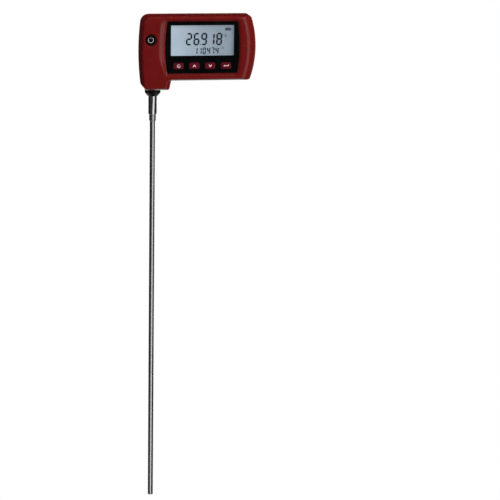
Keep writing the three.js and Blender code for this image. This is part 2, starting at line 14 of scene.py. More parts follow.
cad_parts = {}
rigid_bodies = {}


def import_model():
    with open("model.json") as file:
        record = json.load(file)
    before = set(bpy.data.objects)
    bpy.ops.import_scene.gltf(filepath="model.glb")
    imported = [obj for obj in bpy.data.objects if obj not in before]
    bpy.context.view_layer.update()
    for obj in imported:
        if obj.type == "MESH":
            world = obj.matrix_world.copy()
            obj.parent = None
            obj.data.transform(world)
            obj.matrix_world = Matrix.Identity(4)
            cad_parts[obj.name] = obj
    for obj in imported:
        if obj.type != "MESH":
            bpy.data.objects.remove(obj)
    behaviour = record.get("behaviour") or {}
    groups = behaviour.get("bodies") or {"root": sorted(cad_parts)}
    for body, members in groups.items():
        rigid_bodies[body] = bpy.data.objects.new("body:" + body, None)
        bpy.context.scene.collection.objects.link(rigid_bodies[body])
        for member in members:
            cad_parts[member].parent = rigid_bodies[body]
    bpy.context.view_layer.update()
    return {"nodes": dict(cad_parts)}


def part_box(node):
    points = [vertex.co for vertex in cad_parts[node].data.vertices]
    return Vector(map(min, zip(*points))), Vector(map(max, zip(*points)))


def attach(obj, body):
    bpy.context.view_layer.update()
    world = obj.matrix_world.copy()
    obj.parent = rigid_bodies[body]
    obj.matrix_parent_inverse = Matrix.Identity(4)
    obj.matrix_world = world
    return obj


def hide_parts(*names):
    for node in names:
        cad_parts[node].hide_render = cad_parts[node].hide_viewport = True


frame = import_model()
MM = 0.001


# ---------------------------------------------------------------- rectangles: (x0, x1, z0, z1)
def around(x, z, half_x, half_z):
    return x - half_x, x + half_x, z - half_z, z + half_z


def grown(rect, by):
    x0, x1, z0, z1 = rect
    return x0 - by, x1 + by, z0 - by, z1 + by


# ---------------------------------------------------------------- sizes read from the frame
def box_mm(node):
    low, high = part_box(node)
    return np.array(low) * 1000, np.array(high) * 1000


def centre(node):
    low, high = box_mm(node)
    middle = (low + high) / 2
    return middle[0], middle[2] - BASE_Z


def rect_of(node):
    low, high = box_mm(node)
    return low[0], high[0], low[2] - BASE_Z, high[2] - BASE_Z


def depth_of(node):
    low, high = box_mm(node)
    return low[1], high[1]


LEFT_X, FACE_Y, BASE_Z = box_mm("front_cover")[0]
RIGHT_X, PART_Y, TOP_Z = box_mm("front_cover")[1]      # the covers part at PART_Y
HEAD_HEIGHT = TOP_Z - BASE_Z
BACK_Y = depth_of("battery_cover")[1]

# arcs: centre x, centre z, radius
LEFT_ARC = (LEFT_X + 309.0, 44.0, 309.0)
RIGHT_ARC = (RIGHT_X - 117.0, 50.0, 117.0)

ZERO_X = LEFT_X + 14.8         # the head's own zero line
SHELF_Z = 11.1                 # underside of the head to the right of the boss
SHELL_SPLIT_X = 60             # the outline's left and right halves meet here

KEY_BODIES = {"key_mode": "mode_key", "key_up": "up_key",
              "key_down": "down_key", "key_enter": "enter_key"}
KEY_XS = [centre(node)[0] for node in KEY_BODIES]
KEY_Z = centre("key_up")[1]
POWER = centre("power_button")

BEZEL = rect_of("bezel_panel")
BEZEL_X0, BEZEL_X1, BEZEL_Z0, BEZEL_Z1 = BEZEL
BEZEL_DEPTH = depth_of("bezel_panel")
BEZEL_MID_Z = (BEZEL_Z0 + BEZEL_Z1) / 2
BEZEL_RADIUS = 185.0
BEZEL_LEFT = (BEZEL_X0 + BEZEL_RADIUS, BEZEL_MID_Z, BEZEL_RADIUS)
BEZEL_RIGHT = (BEZEL_X1 - BEZEL_RADIUS, BEZEL_MID_Z, BEZEL_RADIUS)

WINDOW = (20.2 + ZERO_X, 95.9 + ZERO_X, 41.4, 77.6)    # opening in the display surround
WELL = (30.5 + ZERO_X, 86.5 + ZERO_X, 28.0, 63.0)      # inside of the box behind the door
DOOR = rect_of("battery_cover")
SCREWS = [centre(f"housing_screw_{i}") for i in range(1, 6)]
DOOR_SCREWS = [centre(f"cover_screw_{i}") for i in (1, 2)]


# ---------------------------------------------------------------- mesh tools
def part(name, mesh_data, material, body, slot, replaces=None, sharp=None):
    """Makes an object from (points in mm, faces) or (points, faces, point normals).

    Without normals or a sharp angle it is shaded flat."""
    points, faces, *normals = mesh_data
    mesh = bpy.data.meshes.new(name)
    mesh.from_pydata((points * MM).tolist(), [], faces)
    mesh.update()
    if normals:
        mesh.validate()
    if normals or sharp is not None:
        mesh.polygons.foreach_set("use_smooth", np.ones(len(mesh.polygons), bool))
    if sharp is not None:
        mesh.set_sharp_from_angle(angle=math.radians(sharp))
    if normals:
        mesh.normals_split_custom_set_from_vertices(normals[0].tolist())
    ob = bpy.data.objects.new(name, mesh)
    bpy.context.scene.collection.objects.link(ob)
    mesh.materials.append(MATERIALS[material])
    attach(ob, body)
    if replaces:
        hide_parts(replaces)


def closed_body(points, faces, lift=BASE_Z):
    """Lifts the points and turns the faces out if the volume comes out negative."""
    points = np.array(points, float)
    points[:, 2] += lift
    volume = 0.0
    for face in faces:
        for i in range(1, len(face) - 1):
            normal = np.cross(points[face[i]], points[face[i + 1]])
            volume += float(np.dot(points[face[0]], normal))
    if volume < 0:
        faces = [tuple(reversed(face)) for face in faces]
    return points, faces


def lathe(profile, segments=96, spot=None):
    """Turned body from (radius, height) pairs. It stands on the probe's axis with heights
    along Z, or at a spot (x, z) of the head with heights along Y."""
    points, faces, rows = [], [], []
    for radius, height in profile:
        count = 1 if radius < 1e-9 else segments
        rows.append(list(range(len(points), len(points) + count)))
        for k in range(count):
            angle = 2 * math.pi * k / segments
            points.append((radius * math.cos(angle), radius * math.sin(angle), height))
    pairs = list(zip(rows[:-1], rows[1:]))
    if len(rows[0]) > 1 or len(rows[-1]) > 1:
        pairs.append((rows[-1], rows[0]))
    for low, high in pairs:
        if len(low) == 1 and len(high) == 1:
            continue
        for k in range(segments):
            m = (k + 1) % segments
            if len(low) == 1:
                faces.append((low[0], high[m], high[k]))
            elif len(high) == 1:
                faces.append((low[k], low[m], high[0]))
            else:
                faces.append((low[k], low[m], high[m], high[k]))
    if spot is None:
        return closed_body(points, faces, lift=0)
    points = np.array(points, float)
    points = np.stack([points[:, 1] + spot[0], points[:, 2], points[:, 0] + spot[1]], 1)
    return closed_body(points, faces)


def rounded(corners, steps=5, limit=0.48):
    """Rounds a closed loop of (a, b, radius) corners; radius 0 keeps a corner sharp.
    A round uses up no more than the limit's share of either edge."""
    points = []
    for i, (*corner, radius) in enumerate(corners):
        if radius <= 0:
            points.append(tuple(corner))
            continue
        corner = np.array(corner, float)
        before = np.array(corners[i - 1][:2], float) - corner
        after = np.array(corners[(i + 1) % len(corners)][:2], float) - corner
        length_before, length_after = np.linalg.norm(before), np.linalg.norm(after)
        before, after = before / length_before, after / length_after
        angle = math.acos(max(-1, min(1, float(before @ after))))
        setback = min(radius / math.tan(angle / 2), limit * length_before, limit * length_after)
        radius = setback * math.tan(angle / 2)
        bisector = (before + after) / np.linalg.norm(before + after)
        middle = corner + bisector * (radius / math.sin(angle / 2))
        start = corner + before * setback - middle
        end = corner + after * setback - middle
        sweep = math.atan2(start[0] * end[1] - start[1] * end[0], float(start @ end))
        for k in range(steps + 1):
            turn = sweep * k / steps
            cos, sin = math.cos(turn), math.sin(turn)
            points.append((middle[0] + start[0] * cos - start[1] * sin,
                           middle[1] + start[0] * sin + start[1] * cos))
    return points


def offset_loop(loop, inset):
    """Moves a closed anticlockwise loop inwards, mitred."""
    loop = np.asarray(loop, float)
    edge_in, edge_out = loop - np.roll(loop, 1, 0), np.roll(loop, -1, 0) - loop
    edge_in /= np.linalg.norm(edge_in, axis=1)[:, None]
    edge_out /= np.linalg.norm(edge_out, axis=1)[:, None]
    normal_in = np.stack([-edge_in[:, 1], edge_in[:, 0]], 1)
    normal_out = np.stack([-edge_out[:, 1], edge_out[:, 0]], 1)
    mitre = normal_in + normal_out
    mitre /= np.maximum(np.sum(mitre * normal_in, axis=1), 0.3)[:, None]
    return loop + mitre * inset


def anticlockwise(loop):
    loop = np.array(loop, float)
    following = np.roll(loop, -1, 0)
    area = 0.5 * np.sum(loop[:, 0] * following[:, 1] - following[:, 0] * loop[:, 1])
    return loop[::-1] if area < 0 else loop


def rect_loop(rect, radius, steps=8):
    x0, x1, z0, z1 = rect
    loop = []
    for x, z, start in ((x1 - radius, z0 + radius, -90), (x1 - radius, z1 - radius, 0),
                        (x0 + radius, z1 - radius, 90), (x0 + radius, z0 + radius, 180)):
        for k in range(steps + 1):
            angle = math.radians(start + 90 * k / steps)
            loop.append((x + radius * math.cos(angle), z + radius * math.sin(angle)))
    return loop


def panel(outer, holes, depth, bevel, steps):
    """Flat plate facing -Y between two depths, with rounded front edges.
    Loops are (x, z), anticlockwise."""
    front, back = depth
    points, faces, front_loops, back_loops = [], [], [], []
    for k, loop in enumerate([outer, *holes]):
        inward = bevel if k == 0 else -bevel
        rings = []
        for s in range(steps + 1):
            angle = math.pi / 2 * s / steps
            rings.append((offset_loop(loop, inward * (1 - math.sin(angle))),
                          front + bevel * (1 - math.cos(angle))))
        rings.append((np.asarray(loop, float), back))
        rows = []
        for ring, y in rings:
            rows.append(list(range(len(points), len(points) + len(ring))))
            points += [(x, y, z) for x, z in ring]
        for near, far in zip(rows[:-1], rows[1:]):
            for i in range(len(loop)):
                j = (i + 1) % len(loop)
                quad = (near[i], far[i], far[j], near[j])
                faces.append(quad if k else quad[::-1])
        front_loops.append(rows[0])
        back_loops.append(rows[-1])
    for loops, is_back in ((front_loops, False), (back_loops, True)):
        flat = [i for loop in loops for i in loop]
        outlines = [[Vector((points[i][0], points[i][2], 0)) for i in loop] for loop in loops]
        for triangle in tessellate_polygon(outlines):
            a, b, c = [flat[i] for i in triangle]
            corner_a, corner_b, corner_c = [np.array(points[i]) for i in (a, b, c)]
            normal_y = np.cross(corner_b - corner_a, corner_c - corner_a)[1]
            if abs(normal_y) < 1e-12:
                continue
            faces.append((a, b, c) if (normal_y < 0) != is_back else (a, c, b))
    return closed_body(points, faces)


def stack(*bodies):
    """Closed flat-ended bodies. Each is a list of (loop (x, z), depth y), loops of equal length."""
    points, faces = [], []
    for levels in bodies:
        rows = []
        for loop, y in levels:
            rows.append(list(range(len(points), len(points) + len(loop))))
            points += [(x, y, z) for x, z in loop]
        for near, far in zip(rows[:-1], rows[1:]):
            for i in range(len(near)):
                j = (i + 1) % len(near)
                faces.append((near[i], near[j], far[j], far[i]))
        faces += [tuple(rows[0][::-1]), tuple(rows[-1])]
    return closed_body(points, faces)


# ---------------------------------------------------------------- implicit shapes (negative inside)
def round_max(a, b, radius):
    corner = np.hypot(np.maximum(a + radius, 0), np.maximum(b + radius, 0))
    return np.minimum(-radius, np.maximum(a, b)) + corner


def round_min(a, b, radius):
    corner = np.hypot(np.maximum(radius - a, 0), np.maximum(radius - b, 0))
    return np.maximum(radius, np.minimum(a, b)) - corner


def soft_max(a, b, blend):
    near = np.maximum(blend - np.abs(a - b), 0) / np.maximum(blend, 1e-6)
    return np.maximum(a, b) + near * near * blend * 0.25


def common(*shapes):
    return reduce(np.maximum, shapes)


def cut(shape, tool, blend=None):
    return np.maximum(shape, -tool) if blend is None else soft_max(shape, -tool, blend)


def slab(y, y0, y1):
    return np.maximum(y0 - y, y - y1)


def disc(x, z, disc_x, disc_z, radius):
    return np.hypot(x - disc_x, z - disc_z) - radius


def rect_field(x, z, rect, radius):
    x0, x1, z0, z1 = rect
    over_x = np.abs(x - (x0 + x1) / 2) - ((x1 - x0) / 2 - radius)
    over_z = np.abs(z - (z0 + z1) / 2) - ((z1 - z0) / 2 - radius)
    outside = np.hypot(np.maximum(over_x, 0), np.maximum(over_z, 0))
    return outside + np.minimum(np.maximum(over_x, over_z), 0) - radius


def four_sides(left, top, bottom, right, radius):
    upper = round_max(left, top, radius)
    return round_max(round_max(upper, bottom, radius), right, radius)


def smoothstep(t):
    return t * t * (3 - 2 * t)


def net(shape, low, high, step):
    """Closed quad mesh of shape(x, y, z) = 0 in head coordinates: one point in each grid cell
    the surface crosses, then moved onto the exact surface. Returns points, quads, normals."""
    axes = [np.arange(low[k], high[k] + step, step) for k in range(3)]
    values = shape(*np.meshgrid(*axes, indexing="ij"))
    values = np.where(np.abs(values) < 1e-7, 1e-7, values)
    size = tuple(n - 1 for n in values.shape)
    total, count = np.zeros(size + (3,), np.float32), np.zeros(size, np.int8)
    crossings = []
    for axis in range(3):
        lower, upper = [slice(None)] * 3, [slice(None)] * 3
        lower[axis], upper[axis] = slice(0, -1), slice(1, None)
        start, end = values[tuple(lower)], values[tuple(upper)]
        cross = (start < 0) != (end < 0)
        index = np.argwhere(cross)
        position = index.astype(np.float64)
        position[:, axis] += start[cross] / (start[cross] - end[cross])
        crossings.append((axis, index, start[cross] < 0))
        p, q = [k for k in range(3) if k != axis]
        for i in (0, 1):
            for j in (0, 1):
                cell = index.copy()
                cell[:, p] -= i
                cell[:, q] -= j
                valid = ((cell[:, p] >= 0) & (cell[:, q] >= 0)
                         & (cell[:, p] < size[p]) & (cell[:, q] < size[q]))
                where = tuple(cell[valid].T)
                np.add.at(total, where, position[valid].astype(np.float32))
                np.add.at(count, where, 1)
    cells = np.argwhere(count > 0)
    where = tuple(cells.T)
    ids = np.full(size, -1, np.int64)
    ids[where] = np.arange(len(cells))
    points = total[where].astype(float) / count[where][:, None]
    points = points * step + np.array(low, float)

    quads = []
    for axis, index, inside in crossings:
        p, q = [(1, 2), (2, 0), (0, 1)][axis]
        corners = []
        for i, j in ((1, 1), (0, 1), (0, 0), (1, 0)):
            cell = index.copy()
            cell[:, p] -= i
            cell[:, q] -= j
            corners.append(ids[tuple(cell.T)])
        quad = np.stack(corners, 1)
        quad[~inside] = quad[~inside][:, ::-1]
        quads.append(quad)
    quads = np.concatenate(quads)
    quads = quads[(quads >= 0).all(1)]

    def gradient(reach):
        slope = np.zeros_like(points)
        for k in range(3):
            shift = np.zeros(3)
            shift[k] = reach
            slope[:, k] = (shape(*(points + shift).T) - shape(*(points - shift).T)) / (2 * reach)
        return slope

    for _ in range(4):
        slope = gradient(0.03)
        move = -(shape(*points.T) / np.maximum((slope * slope).sum(1), 1e-4))[:, None] * slope
        length = np.linalg.norm(move, axis=1)
        points = points + move * np.minimum(1, 0.35 * step / np.maximum(length, 1e-9))[:, None]
    normals = gradient(0.05)
    normals /= np.maximum(np.linalg.norm(normals, axis=1), 1e-9)[:, None]
    points[:, 2] += BASE_Z
    return points, quads.tolist(), normals


# ---------------------------------------------------------------- form of the head
def outline_parts(x, z):
    """The right side of the boss leans outwards as it rises to the shelf."""
    side = ((x - 19.0 - ZERO_X) * SHELF_Z - z * 2.4) / 11.357
    return disc(x, z, *LEFT_ARC), disc(x, z, *RIGHT_ARC), z - HEAD_HEIGHT, -z, side, SHELF_Z - z


def outline(x, z):
    left, right, top, boss, side, shelf = outline_parts(x, z)
    west = round_max(round_max(left, top, 9.0), boss, 5.5)
    west = round_max(west, round_min(side, shelf, 1.2), 2.2)
    east = round_max(round_max(right, top, 3.5), shelf, 1.8)
    return np.where(x < SHELL_SPLIT_X, west, east)


def bezel_recess(x, z):
    """The display surround's outline with 0.15 mm of play."""
    return four_sides(disc(x, z, *BEZEL_LEFT), z - BEZEL_Z1, BEZEL_Z0 - z,
                      disc(x, z, *BEZEL_RIGHT), 2.0) - 0.15


def dish(x, y, z):
    """The border that slopes from the face down to the surround. Negative in front of it."""
    # the left border is broad, and narrows at its foot
    wide = 3.6 + 3.8 * smoothstep(np.clip((z - 22) / 20, 0, 1))
    edge = disc(x, z, *BEZEL_LEFT)
    shallow = 0.32 * wide
    left = (0.1 * np.clip(edge / shallow, 0, 1)
            + 0.9 * np.maximum(edge - shallow, 0) / (0.68 * wide))
    # the right border dies out slowly into the face
    edge = disc(x, z, *BEZEL_RIGHT)
    fade = 7.4
    right = np.where(edge < fade,
                     1 - (1 - np.clip(edge / fade, 0, 1)) ** 2 + np.minimum(edge, 0) * 0.27,
                     1 + (edge - fade) * 0.3)
    rise = four_sides(left, (z - BEZEL_Z1) / 3.1, (BEZEL_Z0 - z) / 3.1, right, 0.75)
    floor_y = BEZEL_DEPTH[0]
    return (y - floor_y + (floor_y - FACE_Y) * np.maximum(rise, 0.0)) / 1.12


def roll(distance, y, inset, width, depth, power):
    """One rolled front edge; power 2 is round, near 1 a soft chamfer.
    Returns it and how far into the roll a point is."""
    across = np.maximum(0, 1 + (distance + inset) / width)
    along = np.maximum(0, (FACE_Y + inset + depth - y) / depth)
    return ((across ** power + along ** power) ** (1 / power) - 1) * depth, across


def join(first, second, blend):
    """Blends two rolls where both act, and leaves the flat face between them alone."""
    shared = np.minimum(first[1], second[1])
    blend = np.maximum(blend * np.clip(3 * shared, 0, 1), 1e-6)
    return soft_max(first[0], second[0], blend), np.maximum(first[1], second[1])


def front_form(x, y, z, inset=0.0):
    """The front cover's moulded form, set in by the inset."""
    _, right, _, boss, side, shelf = outline_parts(x, z)
    blend = 1.0 if inset == 0 else 0.01
    underside = round_max(boss, round_min(side, shelf, 1.2), 2.2)
    beside_boss = round_min(side, 3 * shelf, 1.2)
    form = roll(outline(x, z), y, inset, width=2.6, depth=3.2, power=2.0)
    form = join(form, roll(underside, y, inset, width=3.0, depth=4.6, power=1.22), blend)
    form = join(form, roll(beside_boss, y, inset, width=6.0, depth=4.5, power=1.32), blend)
    form = join(form, roll(right, y, inset, width=13.4, depth=12.6, power=1.85), 1.6 * blend)
    return form[0]


def cut_probe_seat(body, x, y, z):
    """The bore in the boss on the probe's axis, and the wider groove above it."""
    axis_distance = np.hypot(x, y)
    body = cut(body, common(axis_distance - 7.75, z - 2.6))
    return cut(body, common(axis_distance - 9.65, np.abs(z - 4.06) - 1.58))


def front_cover(x, y, z):
    outer = front_form(x, y, z)
    cavity = common(front_form(x, y, z, 2.4), -17.2 - y)
    # deeper pockets on the left, a tall one and a round one behind the power button
    deep = slab(y, -19.7, -16.5)
    tall = rect_field(x, z, (-10.2 + ZERO_X, 6.0 + ZERO_X, 27, 74), 3.0)
    cavity = np.minimum(cavity, common(tall, deep))
    cavity = np.minimum(cavity, common(disc(x, z, *POWER, 6.9), deep))
    body = cut(outer, cavity, 0.25)
    for spot in SCREWS:                                # screw posts
        post = slab(y, -16.4 if spot[0] > 90 else -17.6, PART_Y - 0.05)
        body = np.minimum(body, common(disc(x, z, *spot, 3.0), post, outer))
    body = soft_max(body, y - PART_Y, 0.35)
    blend = np.where(x > 60, 1.9 - 1.3 * smoothstep(np.clip((x - 88) / 14, 0, 1)), 0.8)
    body = cut(body, dish(x, y, z), blend)
    # recesses for the surround and the window, the display opening, the key openings
    body = cut(body, common(bezel_recess(x, z), y + 18.95), 0.25)
    body = cut(body, common(rect_field(x, z, grown(WINDOW, 1.8), 1.0), y + 17.7), 0.2)
    body = cut(body, common(rect_field(x, z, grown(WINDOW, 0.5), 1.0), y + 14.0))
    for key_x in KEY_XS:
        opening = rect_field(x, z, around(key_x, KEY_Z, 6.5, 4.25), 1.4)
        body = cut(body, common(opening, y + 14.0))
    for spot in SCREWS:
        body = cut(body, common(disc(x, z, *spot, 1.45), -9.0 - y))
    # power button hole, flared at the front
    rim = np.interp(y, [-23.0, -22.0, -20.9, 0], [8.4, 7.6, 6.36, 6.36])
    body = cut(body, common(disc(x, z, *POWER, rim) * 0.8, y + 17.0), 0.25)
    return cut_probe_seat(body, x, y, z)


def rear_form(x, y, z, inset=0.0):
    width, depth = 6.2, 8.0
    across = np.maximum(0, 1 + (outline(x, z) + inset) / width)
    along = np.maximum(0, (y - (BACK_Y - inset - depth)) / depth)
    return (np.sqrt(across * across + along * along) - 1) * depth


def rear_cover(x, y, z):
    outer = rear_form(x, y, z)
    body = cut(outer, rear_form(x, y, z, 2.3), 0.3)
    box = common(rect_field(x, z, grown(WELL, 1.6), 0.6), slab(y, 1.6, 15.0))
    body = np.minimum(body, box)
    for spot in SCREWS:
        body = np.minimum(body, common(disc(x, z, *spot, 3.4), outer, y - 15.2))
    for spot in DOOR_SCREWS:
        body = np.minimum(body, common(disc(x, z, *spot, 3.2), slab(y, 4.0, 15.2)))
    body = soft_max(body, PART_Y + 0.05 - y, 0.35)
    # well, door recess, and a groove round the mouth of the well
    body = cut(body, common(rect_field(x, z, WELL, 0.5), 3.0 - y))
    body = cut(body, common(rect_field(x, z, grown(DOOR, 0.15), 3.0), 15.8 - y), 0.3)
    groove = np.abs(rect_field(x, z, grown(WELL, 0.9), 1.2)) - 0.5
    body = cut(body, common(groove, 15.0 - y))
    for spot in DOOR_SCREWS:
        body = cut(body, common(disc(x, z, *spot, 1.3), 6.0 - y))
    for spot in SCREWS:                                # counterbore and through hole
        body = cut(body, common(disc(x, z, *spot, 2.8), 12.0 - y), 0.35)
        body = cut(body, disc(x, z, *spot, 1.45))
    return cut_probe_seat(body, x, y, z)


def battery_door(x, y, z):
    body = soft_max(rect_field(x, z, DOOR, 2.85), y - BACK_Y, 0.7)
    body = soft_max(body, 15.85 - y, 0.3)
    plug = common(rect_field(x, z, grown(WELL, -0.3), 1.0), slab(y, 14.6, 16.0))
    body = np.minimum(body, plug)
    for spot in DOOR_SCREWS:
        body = cut(body, disc(x, z, *spot, 1.35))
        body = cut(body, common(disc(x, z, *spot, 2.45), 16.3 - y), 0.3)
    for rise in (-2.6, 0.0, 2.6):                      # three level grooves
        groove = around(58.5 + ZERO_X, (DOOR[2] + DOOR[3]) / 2 + rise, 10.0, 0.55)
        body = cut(body, common(rect_field(x, z, groove, 0.5), 16.45 - y), 0.35)
    return body


# ---------------------------------------------------------------- shader graph
class Graph:
    """Node tree of a material or world. Inputs take a value or another node's socket."""

    def __init__(self, owner):
        owner.use_nodes = True
        self.tree = owner.node_tree
        self.tree.nodes.clear()
        self.coords = self.add("TexCoord").outputs

    def add(self, kind, inputs=None, **settings):
        node = self.tree.nodes.new("ShaderNode" + kind)
        for key, value in settings.items():
            setattr(node, key, value)
        for key, value in (inputs or {}).items():
            if hasattr(value, "node"):
                self.tree.links.new(value, node.inputs[key])
            else:
                node.inputs[key].default_value = value
        return node

    def noise(self, scale=1.0, detail=2.0, rough=0.5, stretch=None):
        place = self.coords["Object"]
        if stretch:
            place = self.add("Mapping", {"Vector": place, "Scale": stretch}).outputs[0]
        return self.add("TexNoise", {"Vector": place, "Scale": scale, "Detail": detail,
                                     "Roughness": rough}).outputs["Fac"]

    def remap(self, value, source, target=(0, 1)):
        return self.add("MapRange", {"Value": value,
                                     "From Min": source[0], "From Max": source[1],
                                     "To Min": target[0], "To Max": target[1]}).outputs[0]

    def calc(self, operation, first, second):
        return self.add("Math", {0: first, 1: second}, operation=operation).outputs[0]

    def flip(self, value):
        return self.calc("SUBTRACT", 1.0, value)

    def mix(self, factor, first, second):
        return self.add("Mix", {0: factor, 6: first, 7: second}, data_type="RGBA").outputs[2]

    def mix_shader(self, factor, first, second):
        return self.add("MixShader", {0: factor, 1: first, 2: second}).outputs[0]

    def split(self, vector):
        return self.add("SeparateXYZ", {0: vector}).outputs

    def bump(self, height, strength, distance, normal=None):
        inputs = {"Strength": strength, "Distance": distance, "Height": height}
        if normal is not None:
            inputs["Normal"] = normal
        return self.add("Bump", inputs).outputs[0]

    def finish(self, shader, output="OutputMaterial"):
        self.add(output, {0: shader})

    def surface(self, inputs):
        self.finish(self.add("BsdfPrincipled", inputs).outputs[0])


MATERIALS = {}


def start_material(name):
    MATERIALS[name] = bpy.data.materials.new(name)
    return Graph(MATERIALS[name])


def shade(color, factor, lift=0.0):
    return tuple(min(1, c * factor + lift) for c in color) + (1,)


def plastic(name, color, rough, vary=0.12, peel=0.25, peel_scale=1400, grain=0.0, wear=0.0,
            scratch=0.06, spec=0.5, painted_shade=False):
    """Moulded plastic or rubber: colour drift, orange peel or grain, rubbed edges and fine
    handling marks."""
    graph = start_material(name)
    blotches = graph.noise(scale=45, detail=4, rough=0.6)
    specks = graph.noise(scale=900, detail=3, rough=0.6)
    dark = shade(color, 1 - vary)
    base = graph.mix(graph.remap(blotches, (0.3, 0.7)), dark, shade(color, 1 + vary, 0.0015))
    base = graph.mix(graph.remap(specks, (0.35, 0.65), (0, 0.35)), base, dark)
    # two sets of scratches, flat ones and steep ones
    flat = graph.noise(stretch=(260, 260, 5200))
    steep = graph.noise(stretch=(4800, 900, 300))
    scratches = graph.calc("MAXIMUM", graph.remap(flat, (0.66, 0.74)),
                           graph.remap(steep, (0.68, 0.76)))
    if wear > 0:
        # an edge is where the bevelled normal leaves the true one
        bevel = graph.add("Bevel", {"Radius": 0.0009}, samples=4)
        geometry = graph.add("NewGeometry")
        dot = graph.add("VectorMath", {0: bevel.outputs[0], 1: geometry.outputs["Normal"]},
                        operation="DOT_PRODUCT")
        edge = graph.remap(dot.outputs["Value"], (0.999, 0.94))
        patches = graph.noise(scale=260, detail=4, rough=0.65)
        edge = graph.calc("MULTIPLY", edge, graph.remap(patches, (0.42, 0.62), (0.15, 1)))
        base = graph.mix(graph.calc("MULTIPLY", edge, wear), base, shade(color, 1.6, 0.02))
    gloss = graph.remap(graph.noise(scale=120, detail=5, rough=0.65),
                        (0.25, 0.75), (rough - 0.05, rough + 0.07))
    gloss = graph.calc("ADD", gloss, graph.calc("MULTIPLY", scratches, scratch))
    normal = graph.bump(graph.noise(scale=peel_scale), strength=peel, distance=0.00012)
    if grain > 0:
        normal = graph.bump(graph.noise(scale=5200, rough=0.6), strength=grain,
                            distance=0.00006, normal=normal)
    normal = graph.bump(scratches, strength=0.06, distance=0.00003, normal=normal)
    # optional painted shade by the display surround and the power button
    if painted_shade:
        base = painted_recess_shade(graph, base)
    graph.surface({"Base Color": base, "Roughness": gloss, "Normal": normal,
                   "Specular IOR Level": spec})


def painted_recess_shade(graph, base):
    """Painted shade: darkens the front where it meets the display surround and round the power
    button.
    """
    axes = graph.split(graph.add("TexCoord").outputs["Object"])
    calc = graph.calc
    x = calc("MULTIPLY", axes[0], 1000.0)
    z = calc("SUBTRACT", calc("MULTIPLY", axes[2], 1000.0), BASE_Z)
    y = calc("MULTIPLY", axes[1], 1000.0)

    def outside(disc_x, disc_z, radius):
        across, rise = calc("SUBTRACT", x, disc_x), calc("SUBTRACT", z, disc_z)
        squares = calc("ADD", calc("MULTIPLY", across, across), calc("MULTIPLY", rise, rise))
        return calc("SUBTRACT", calc("SQRT", squares, 0.0), radius)

    # each distance is divided by the width of the painted shade on that side, in mm
    unshaded = calc("DIVIDE", outside(*BEZEL_LEFT), 0.6)
    unshaded = calc("MAXIMUM", unshaded, calc("DIVIDE", outside(*BEZEL_RIGHT), 5.0))
    unshaded = calc("MAXIMUM", unshaded, calc("DIVIDE", calc("SUBTRACT", z, BEZEL_Z1), 3.9))
    unshaded = calc("MAXIMUM", unshaded, calc("DIVIDE", calc("SUBTRACT", BEZEL_Z0, z), 4.4))
    unshaded = calc("MINIMUM", unshaded, calc("DIVIDE", outside(*POWER, 6.3), 2.6))
    unshaded = graph.remap(unshaded, (0.0, 1.0))
    unshaded = graph.flip(calc("MULTIPLY", graph.flip(unshaded), graph.flip(unshaded)))
    unshaded = graph.remap(unshaded, (0.0, 1.0), (0.42, 1.0))
    # the surfaces further back get no painted shade
    unshaded = calc("MAXIMUM", unshaded, graph.remap(y, (-19.2, -18.6)))
    return graph.add("VectorMath", {0: base, "Scale": unshaded}, operation="SCALE").outputs[0]


def metal(name, color, rough, turned=False):
    """Fine streaks along drawn metal or round turned metal, a cloudy polish, handling marks."""
    graph = start_material(name)
    streaks = graph.noise(detail=3, rough=0.6,
                          stretch=(40, 40, 5200) if turned else (2600, 2600, 9))
    cloud = graph.noise(scale=55, detail=4, rough=0.55)
    base = graph.mix(graph.remap(cloud, (0.3, 0.7)), shade(color, 0.94), shade(color, 1.03))
    base = graph.mix(graph.remap(streaks, (0.5, 0.75), (0, 0.16)), base, shade(color, 0.72))
    marks = graph.remap(graph.noise(stretch=(700, 700, 2200)), (0.70, 0.80))
    gloss = graph.calc("ADD", graph.remap(cloud, (0.3, 0.7), (rough - 0.02, rough + 0.04)),
                       graph.calc("MULTIPLY", marks, 0.036))
    graph.surface({"Base Color": base, "Metallic": 1, "Roughness": gloss,
                   "Normal": graph.bump(streaks, strength=0.05, distance=0.00002)})


def lcd_material():
    """Pale blue display with painted shade, darker to the right and upwards, and a painted glow
    that lightens the shadow of the surround on it.
    """
    graph = start_material("lcd_face")
    axes = graph.split(graph.coords["Object"])
    x0, x1, z0, z1 = WINDOW
    # painted shade: the display darkens to the right and upwards
    across = graph.remap(axes[0], (x0 * MM, x1 * MM))
    rise = graph.remap(axes[2], ((BASE_Z + z0) * MM, (BASE_Z + z1) * MM))
    dim = graph.flip(graph.calc("POWER", graph.flip(across), 1.4))
    dim = graph.calc("ADD", dim, graph.remap(rise, (0, 1), (-0.03, 0.05)))
    cloud = graph.noise(scale=60, detail=3)
    dim = graph.calc("ADD", dim, graph.remap(cloud, (0.3, 0.7), (-0.06, 0.06)))
    base = graph.mix(dim, (0.65, 0.75, 0.88, 1), (0.36, 0.425, 0.50, 1))
    grain = graph.noise(scale=5200, rough=0.6)
    base = graph.mix(graph.remap(grain, (0.3, 0.7), (0, 0.18)), base, (0.25, 0.31, 0.37, 1))
    # the emission is a painted glow that lightens the surround's shadow on the display
    graph.surface({"Base Color": graph.mix(0.62, base, (0.0, 0.0, 0.0, 1)),
                   "Emission Color": base, "Emission Strength": 0.49,
                   "Roughness": 0.5, "Specular IOR Level": 0.3,
                   "Normal": graph.bump(grain, strength=0.15, distance=0.00004)})


